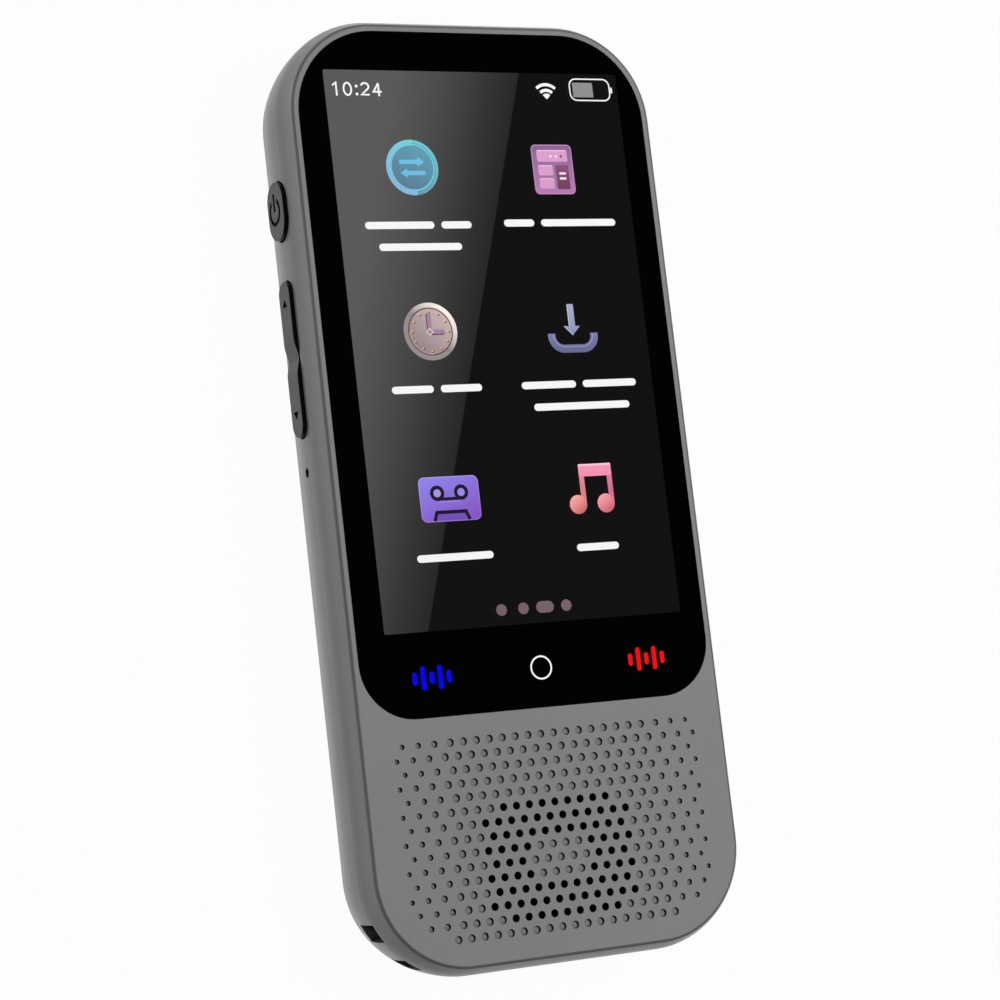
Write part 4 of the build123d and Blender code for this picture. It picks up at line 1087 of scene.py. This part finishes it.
def makeFloor():
    # Pale paper. Seen straight, in gloss or through glass it is mostly white, and keeps some shadow
    floor = {"size": 6.0, "colour": "#b0b0b0", "rough": 0.9, "white": 0.97}
    half = floor["size"] / 2
    mesh = bpy.data.meshes.new("studioFloor")
    corners = [(-half, -half, 0), (half, -half, 0), (half, half, 0), (-half, half, 0)]
    mesh.from_pydata(corners, [], [(0, 1, 2, 3)])
    piece = bpy.data.objects.new("studioFloor", mesh)
    bpy.context.scene.collection.objects.link(piece)
    material, tree, shader = newMaterial("paleStudioPaper")[:3]
    paper = {
        "Base Color": toLinear(floor["colour"]), "Roughness": floor["rough"],
        "Specular IOR Level": 0.0,
    }
    fillSockets(tree, shader, paper)
    seen = raysThat(tree, "Is Camera Ray", "Is Glossy Ray", "Is Transmission Ray")
    share = addNode(tree, "ShaderNodeMath", {1: floor["white"]}, {0: seen}, operation="MULTIPLY").outputs[0]
    glow = addNode(tree, "ShaderNodeEmission", {"Color": (1, 1, 1, 1), "Strength": 1.0}).outputs[0]
    top = addNode(tree, "ShaderNodeMixShader", None, {0: share, 1: shader.outputs[0], 2: glow}).outputs[0]
    clear = addNode(tree, "ShaderNodeBsdfTransparent").outputs[0]
    under = addNode(tree, "ShaderNodeNewGeometry").outputs["Backfacing"]
    both = addNode(tree, "ShaderNodeMixShader", None, {0: under, 1: top, 2: clear}).outputs[0]
    fillSockets(tree, tree.nodes["Material Output"], None, {"Surface": both})
    mesh.materials.append(material)


def makeWorld():
    # Pale walls up to a height above the horizon, and a dark ceiling. Seen straight it is white
    room = {"wall": 0.06, "ceiling": 0.01, "wallTop": 0.05, "ceilingStart": 0.3}
    world = bpy.data.worlds.new("studioRoom")
    bpy.context.scene.world = world
    world.use_nodes = True
    tree = world.node_tree
    direction = addNode(tree, "ShaderNodeTexCoord").outputs["Generated"]
    height = addNode(tree, "ShaderNodeSeparateXYZ", None, {0: direction}).outputs[2]
    light = addNode(
        tree, "ShaderNodeMapRange",
        {
            "From Min": room["wallTop"], "From Max": room["ceilingStart"],
            "To Min": room["wall"], "To Max": room["ceiling"],
        },
        {"Value": height}, interpolation_type="SMOOTHSTEP",
    ).outputs[0]
    seen = raysThat(tree, "Is Camera Ray")
    strength = addNode(tree, "ShaderNodeMath", None, {0: light, 1: seen}, operation="MAXIMUM").outputs[0]
    fillSockets(tree, tree.nodes["Background"], {"Color": (1, 1, 1, 1)}, {"Strength": strength})


def makeLamps():
    # Each lamp: direction from the body, distance, width and height (m), radiated power (W), and
    # whether it shows in gloss
    lamps = {
        "key": {
            "towards": (0.48, 0.15, 0.86), "distance": 0.7, "size": (0.2, 0.2), "power": 5.45,
            "glossy": False,
        },
        "leftStrip": {
            "towards": (-0.86, 0.5, 0.05), "distance": 0.8, "size": (0.5, 0.12), "power": 1.3,
            "glossy": True,
        },
        "leftFill": {
            "towards": (-0.86, 0.3, 0.33), "distance": 0.8, "size": (0.4, 0.2), "power": 2.0,
            "glossy": False,
        },
    }
    middle = Vector((0, 0, cadHigh.z / 2))
    for name, look in lamps.items():
        light = bpy.data.lights.new(name, "AREA")
        light.shape = "RECTANGLE"
        light.size, light.size_y = look["size"]
        light.energy = look["power"]
        towards = Vector(look["towards"]).normalized()
        lamp = bpy.data.objects.new(name, light)
        lamp.location = middle + towards * look["distance"]
        lamp.rotation_euler = towards.to_track_quat("Z", "Y").to_euler()
        lamp.visible_glossy = lamp.visible_transmission = look["glossy"]
        bpy.context.scene.collection.objects.link(lamp)


def makeCamera():
    # The place in millimetres, the view's right and ahead, and the lens over a 36 mm sensor
    shot = {
        "place": (-176.8, -48.1, 363.4), "right": (0.8952, -0.1136, 0.4309),
        "ahead": (0.4427, 0.1163, -0.8891), "lens": 100.25,
    }
    ahead = Vector(shot["ahead"]).normalized()
    up = Vector(shot["right"]).cross(ahead).normalized()
    right = ahead.cross(up)
    camera = bpy.data.objects.new("camera", bpy.data.cameras.new("camera"))
    camera.data.lens = shot["lens"]
    camera.data.clip_start = 0.01
    turn = Matrix((right, up, -ahead)).transposed().to_4x4()
    camera.matrix_world = Matrix.Translation(Vector(shot["place"]) * mm) @ turn
    bpy.context.scene.collection.objects.link(camera)
    bpy.context.scene.camera = camera


makeFloor()
makeWorld()
makeLamps()
makeCamera()
bpy.context.scene.view_settings.view_transform = "Standard"
print("floor, light and camera made")
